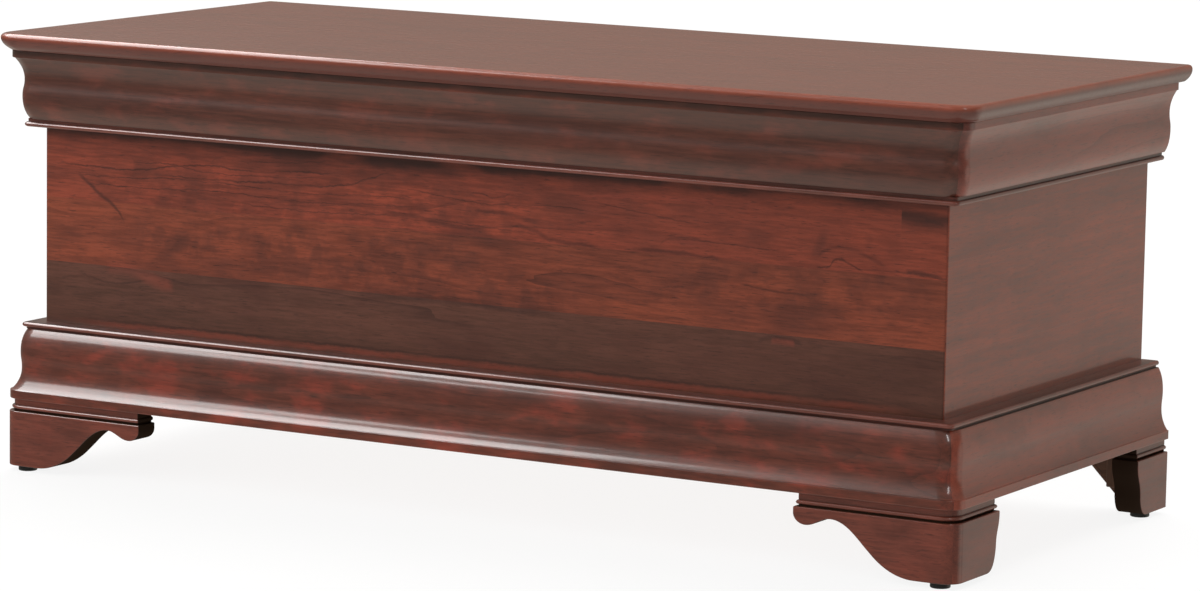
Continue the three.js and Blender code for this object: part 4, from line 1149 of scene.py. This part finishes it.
def stayArm(place, nearest):
    half, faces = stay["armWidth"] / 2, facesIn(stay["armFrom"], stay["armTo"], stay["armEasing"])
    end = stay["farthest"] + stay["slotHalf"] + stay["endMargin"] - half
    through = np.array([(0, -1), (0, stay["armTo"] + beyond)])
    slot = plate(stadium(nearest, stay["farthest"], stay["slotHalf"], 8), through, place)
    hole = plate(stadium(-0.001, 0.001, stay["holeRadius"], 10), through, place)
    return carve(plate(stadium(0, end, half), faces, place), slot, hole)


def stayBracket(sign, rivet):
    # A strip bent down from under the lid: a rounded section along its middle line, as wide as its round ends allow.
    # The line's points are the way out from the case's side, the way up from the flange, and half the width.
    ear, thick, bend, corner, easing = (stay[key] for key in ("ear", "earHalf", "bend", "flangeCorner", "earEasing"))
    middle, top = stay["earMiddle"], lidLow[2] - glueLine / 2
    start, last, drop = middle + bend, stay["flangeEnd"] - corner, top - thick - rivet[1]
    shares = np.array([0.25, 0.5, 0.75])
    path = np.concatenate([
        np.insert(arcPoints((last, ear - corner), corner, 0, 90, 6)[1:], 1, 0, 1),
        [(start + (last - start) * share, 0, ear) for share in shares[::-1]],
        np.insert(arcPoints((start, -bend), bend, 90, 180, 7), 2, ear, 1),
        [(middle, -bend - (drop - bend) * share, ear) for share in shares],
        np.insert(arcPoints((0, -drop), ear, 0, -84, 11)[:, ::-1], 0, middle, 1),
    ])
    normal = -normalsOf(np.gradient(path[:, :2], axis=0))
    angle, signs = cornerArcs(3)
    across = signs[:, 0] * (path[:, 2:] - easing) + easing * np.cos(angle)
    section = signs[:, 1] * (thick - easing) + easing * np.sin(angle)
    away, rise = (path[:, k, None] + normal[:, k, None] * section for k in (0, 1))
    mesh = ringed(np.stack([sign * (insideX - away), rivet[0] + across, top - thick + rise], -1))
    bore = [(-beyond, stay["holeRadius"]), (beyond, stay["holeRadius"])]
    hole = turned(bore, (sign * (insideX - middle), *rivet), sides=24)
    under, out = top - 2 * thick, (0, 0, -1)
    places = [((sign * (insideX - x), rivet[0] + y, under), out, 50 * y) for x, y in stay["flangeScrews"]]
    return screwed(mesh, "lid", places, hole)


def addStays():
    metal = brass("stayBrass", 0.45)
    shank, head, rise = stay["rivet"], stay["rivetHead"], stay["headHeight"]
    low, high = stay["rivetFrom"], stay["rivetTo"]
    profile = [*dome(low, low - rise, head)[::-1], (low, shank), (high, shank), *dome(high, high + rise, head)]
    for hand, sign in hands.items():
        rivet, stud = middleOf(f"{hand}_stay_rivet")[1:], middleOf(f"{hand}_stay_plate")[1:]
        nearest = float(np.linalg.norm(stud - rivet))
        run = (stud - rivet) / nearest

        def onArm(u, v, w):
            # Across and along the arm, and away from the case's side
            return sign * (insideX - w), rivet[0] + run[0] * v - run[1] * u, rivet[1] + run[1] * v + run[0] * u

        def onSide(profile, centre, *form):
            return turned(np.array(profile) * (-sign, 1), (sign * insideX, *centre), 0, *form)

        around = enumerate(arcPoints(stud, stay["plateScrews"], 90, 330, 2))
        places = [((sign * (insideX - stay["plateThickness"]), *place), (-sign, 0, 0), 40 * k) for k, place in around]
        pieces = {
            "arm": (stayArm(onArm, nearest), f"{hand}_stay"),
            "bracket": (stayBracket(sign, rivet), "lid"),
            "rivet": (onSide(profile, rivet), "lid"),
            "plate": (screwed(onSide(stay["plate"], stud, 48), "carcass", places), "carcass"),
            "knob": (onSide(stay["knob"], stud, 96, stay["flutes"], stay["flute"], True), "carcass"),
        }
        for part, (mesh, body) in pieces.items():
            showPiece("brass", f"{hand}_stay_{part}", mesh, metal, body)


def screwRow(body, node, out, count, margin, turn):
    # Screws spread along a board's longest side, in the face that looks the way out
    low, high = cornersOf(node)
    half = (high - low) / 2
    along = np.eye(3)[np.argmax(half)]
    for k, share in enumerate(np.linspace(-1, 1, count)):
        place = (low + high) / 2 + np.array(out) * (half + screwProud) + along * share * (half - margin)
        screwPlaces[body].append((place, out, turn * k))


def addScrews():
    # Countersunk heads with a slot, one piece for each body
    for hand in hands:
        screwRow("lid", f"lid_batten_{hand}", (0, 0, -1), 5, 30, 37)
    for side in panels:
        screwRow("carcass", f"bottom_cleat_{side}", intoCase(side), 5 if side in ("front", "back") else 3, 80, 53)
    profile = [
        (-screw["length"], screw["tip"]), (-screw["depth"], screw["shank"]), (-screw["arris"], screw["head"]),
        (0, screw["flat"]),
    ]
    slot = cutters([((-beyond, -screw["slot"] / 2, -screw["slotDepth"]), (beyond, screw["slot"] / 2, beyond))])
    head = carve(turned(profile, axis=2, sides=20), slot)
    metal = brass("screwBrass", 0.7)
    for body, places in screwPlaces.items():
        showPiece("brass", f"{body}_screws", copies(head, places), metal, body)


addHinges()
addStays()
addScrews()
print("hinges, stays and screws made")

floorLook = {"half": 40000, "shade": (94, 94, 94), "glow": 0.88}


def addFloor(look):
    # Plain and pale, lit partly from within so that the chest's shadow on it stays soft
    mesh = bpy.data.meshes.new("floor")
    corners = np.array([(-1, -1, 0), (1, -1, 0), (1, 1, 0), (-1, 1, 0)]) * look["half"] * mm
    mesh.from_pydata(corners.tolist(), [], [(0, 1, 2, 3)])
    floor = added("floor", mesh)
    material, start = startMaterial("paleFloor")
    endMaterial(start, start.add("BsdfPrincipled", inputs={
        "Base Color": paint(look["shade"]),
        "Roughness": 1.0,
        "Specular IOR Level": 0.0,
        "Emission Color": (1.0, 1.0, 1.0, 1.0),
        "Emission Strength": look["glow"],
    }))
    mesh.materials.append(material)
    floor.visible_glossy = False


studio = {
    "horizon": 0.155,  # brightness of the surroundings level with the chest
    "overhead": 0.36,
    "below": 0.7,
    "belowBehind": 0.45,
    "behind": ((0.7, 0.7, 0), -0.3, 0.6),  # direction, and how near it this starts and is full
    "rising": (0.1, 0.7),  # heights at which the overhead brightness starts and is full
    "falling": (0.18, 0.55),
    "tint": (1.0, 0.96, 0.84),
    "cards": [  # direction, brightness, and how near the direction the card starts and is full
        ((0.5, 0.85, -0.15), 0.36, 0.75, 0.95),
        ((-0.5, 0.85, 0.15), 0.06, 0.7, 0.95),
        ((0.88, 0.46, -0.12), 0.55, 0.94, 0.99),
    ],
}


def addSurroundings(look):
    # Brightness by height above or below the horizon, and a few soft pale cards
    world = bpy.data.worlds.new("studio")
    bpy.context.scene.world = world
    start = emptyTree(world)
    direction = start.add("TexCoord", out=0)
    rise = direction.part(2)
    way, begin, full = look["behind"]
    under = direction.along(way).ramp(begin, full) * (look["belowBehind"] - look["below"])
    under = under + (look["below"] - look["horizon"])
    bright = rise.ramp(*look["rising"]) * (look["overhead"] - look["horizon"]) + look["horizon"]
    bright = bright + (0 - rise).ramp(*look["falling"]) * under
    for way, brightness, begin, full in look["cards"]:
        bright = bright + direction.along(way).ramp(begin, full) * brightness
    red, green, blue = (bright * share for share in look["tint"])
    colour = bright.add("CombineColor", inputs={0: red, 1: green, 2: blue})
    background = start.add("Background", inputs={"Color": colour, "Strength": 1.0})
    start.add("OutputWorld", inputs={"Surface": background})


# Kind, place, aim, power, size (a sun's in degrees), and whether it makes only sheen or only light
lamps = {
    "frontLight": ("SUN", (-150, -800, 580), (0, 0, 0), 1.56, 60, "light"),
    "backLight": ("SUN", (-150, 550, 820), (0, 0, 0), 3.1, 60, "light"),
    "keyBox": ("AREA", (-2220, -700, 2200), (-2220, -700, 0), 240, (1900, 3400), "sheen"),
    "lowBox": ("AREA", (-3200, -3400, 2200), (-3200, -3400, 0), 90, (1600, 2000), "sheen"),
    "glint": ("AREA", (2400, -1600, 2270), (600, -250, 300), 17, (350, 1300), "sheen"),
    "sideFill": ("AREA", (-3300, -3000, 900), (-300, 0, 250), 40, (1200, 1200), "light"),
}


def addLamps():
    for name, (kind, place, aim, power, size, makes) in lamps.items():
        light = bpy.data.lights.new(name, kind)
        if kind == "SUN":
            light.angle = math.radians(size)
        else:
            light.shape = "RECTANGLE"
            light.size, light.size_y = (length * mm for length in size)
        light.energy = power
        away = np.subtract(place, aim) / np.linalg.norm(np.subtract(place, aim))
        right = np.cross((0, 1, 0) if abs(away[2]) > 0.99 else (0, 0, 1), away)
        right /= np.linalg.norm(right)
        lamp = added(name, light)
        stand(lamp, right, np.cross(away, right), away, place)
        lamp.visible_glossy, lamp.visible_diffuse = makes == "sheen", makes == "light"


addFloor(floorLook)
addSurroundings(studio)
addLamps()
bpy.context.scene.view_settings.view_transform = "Standard"
print("studio lit")
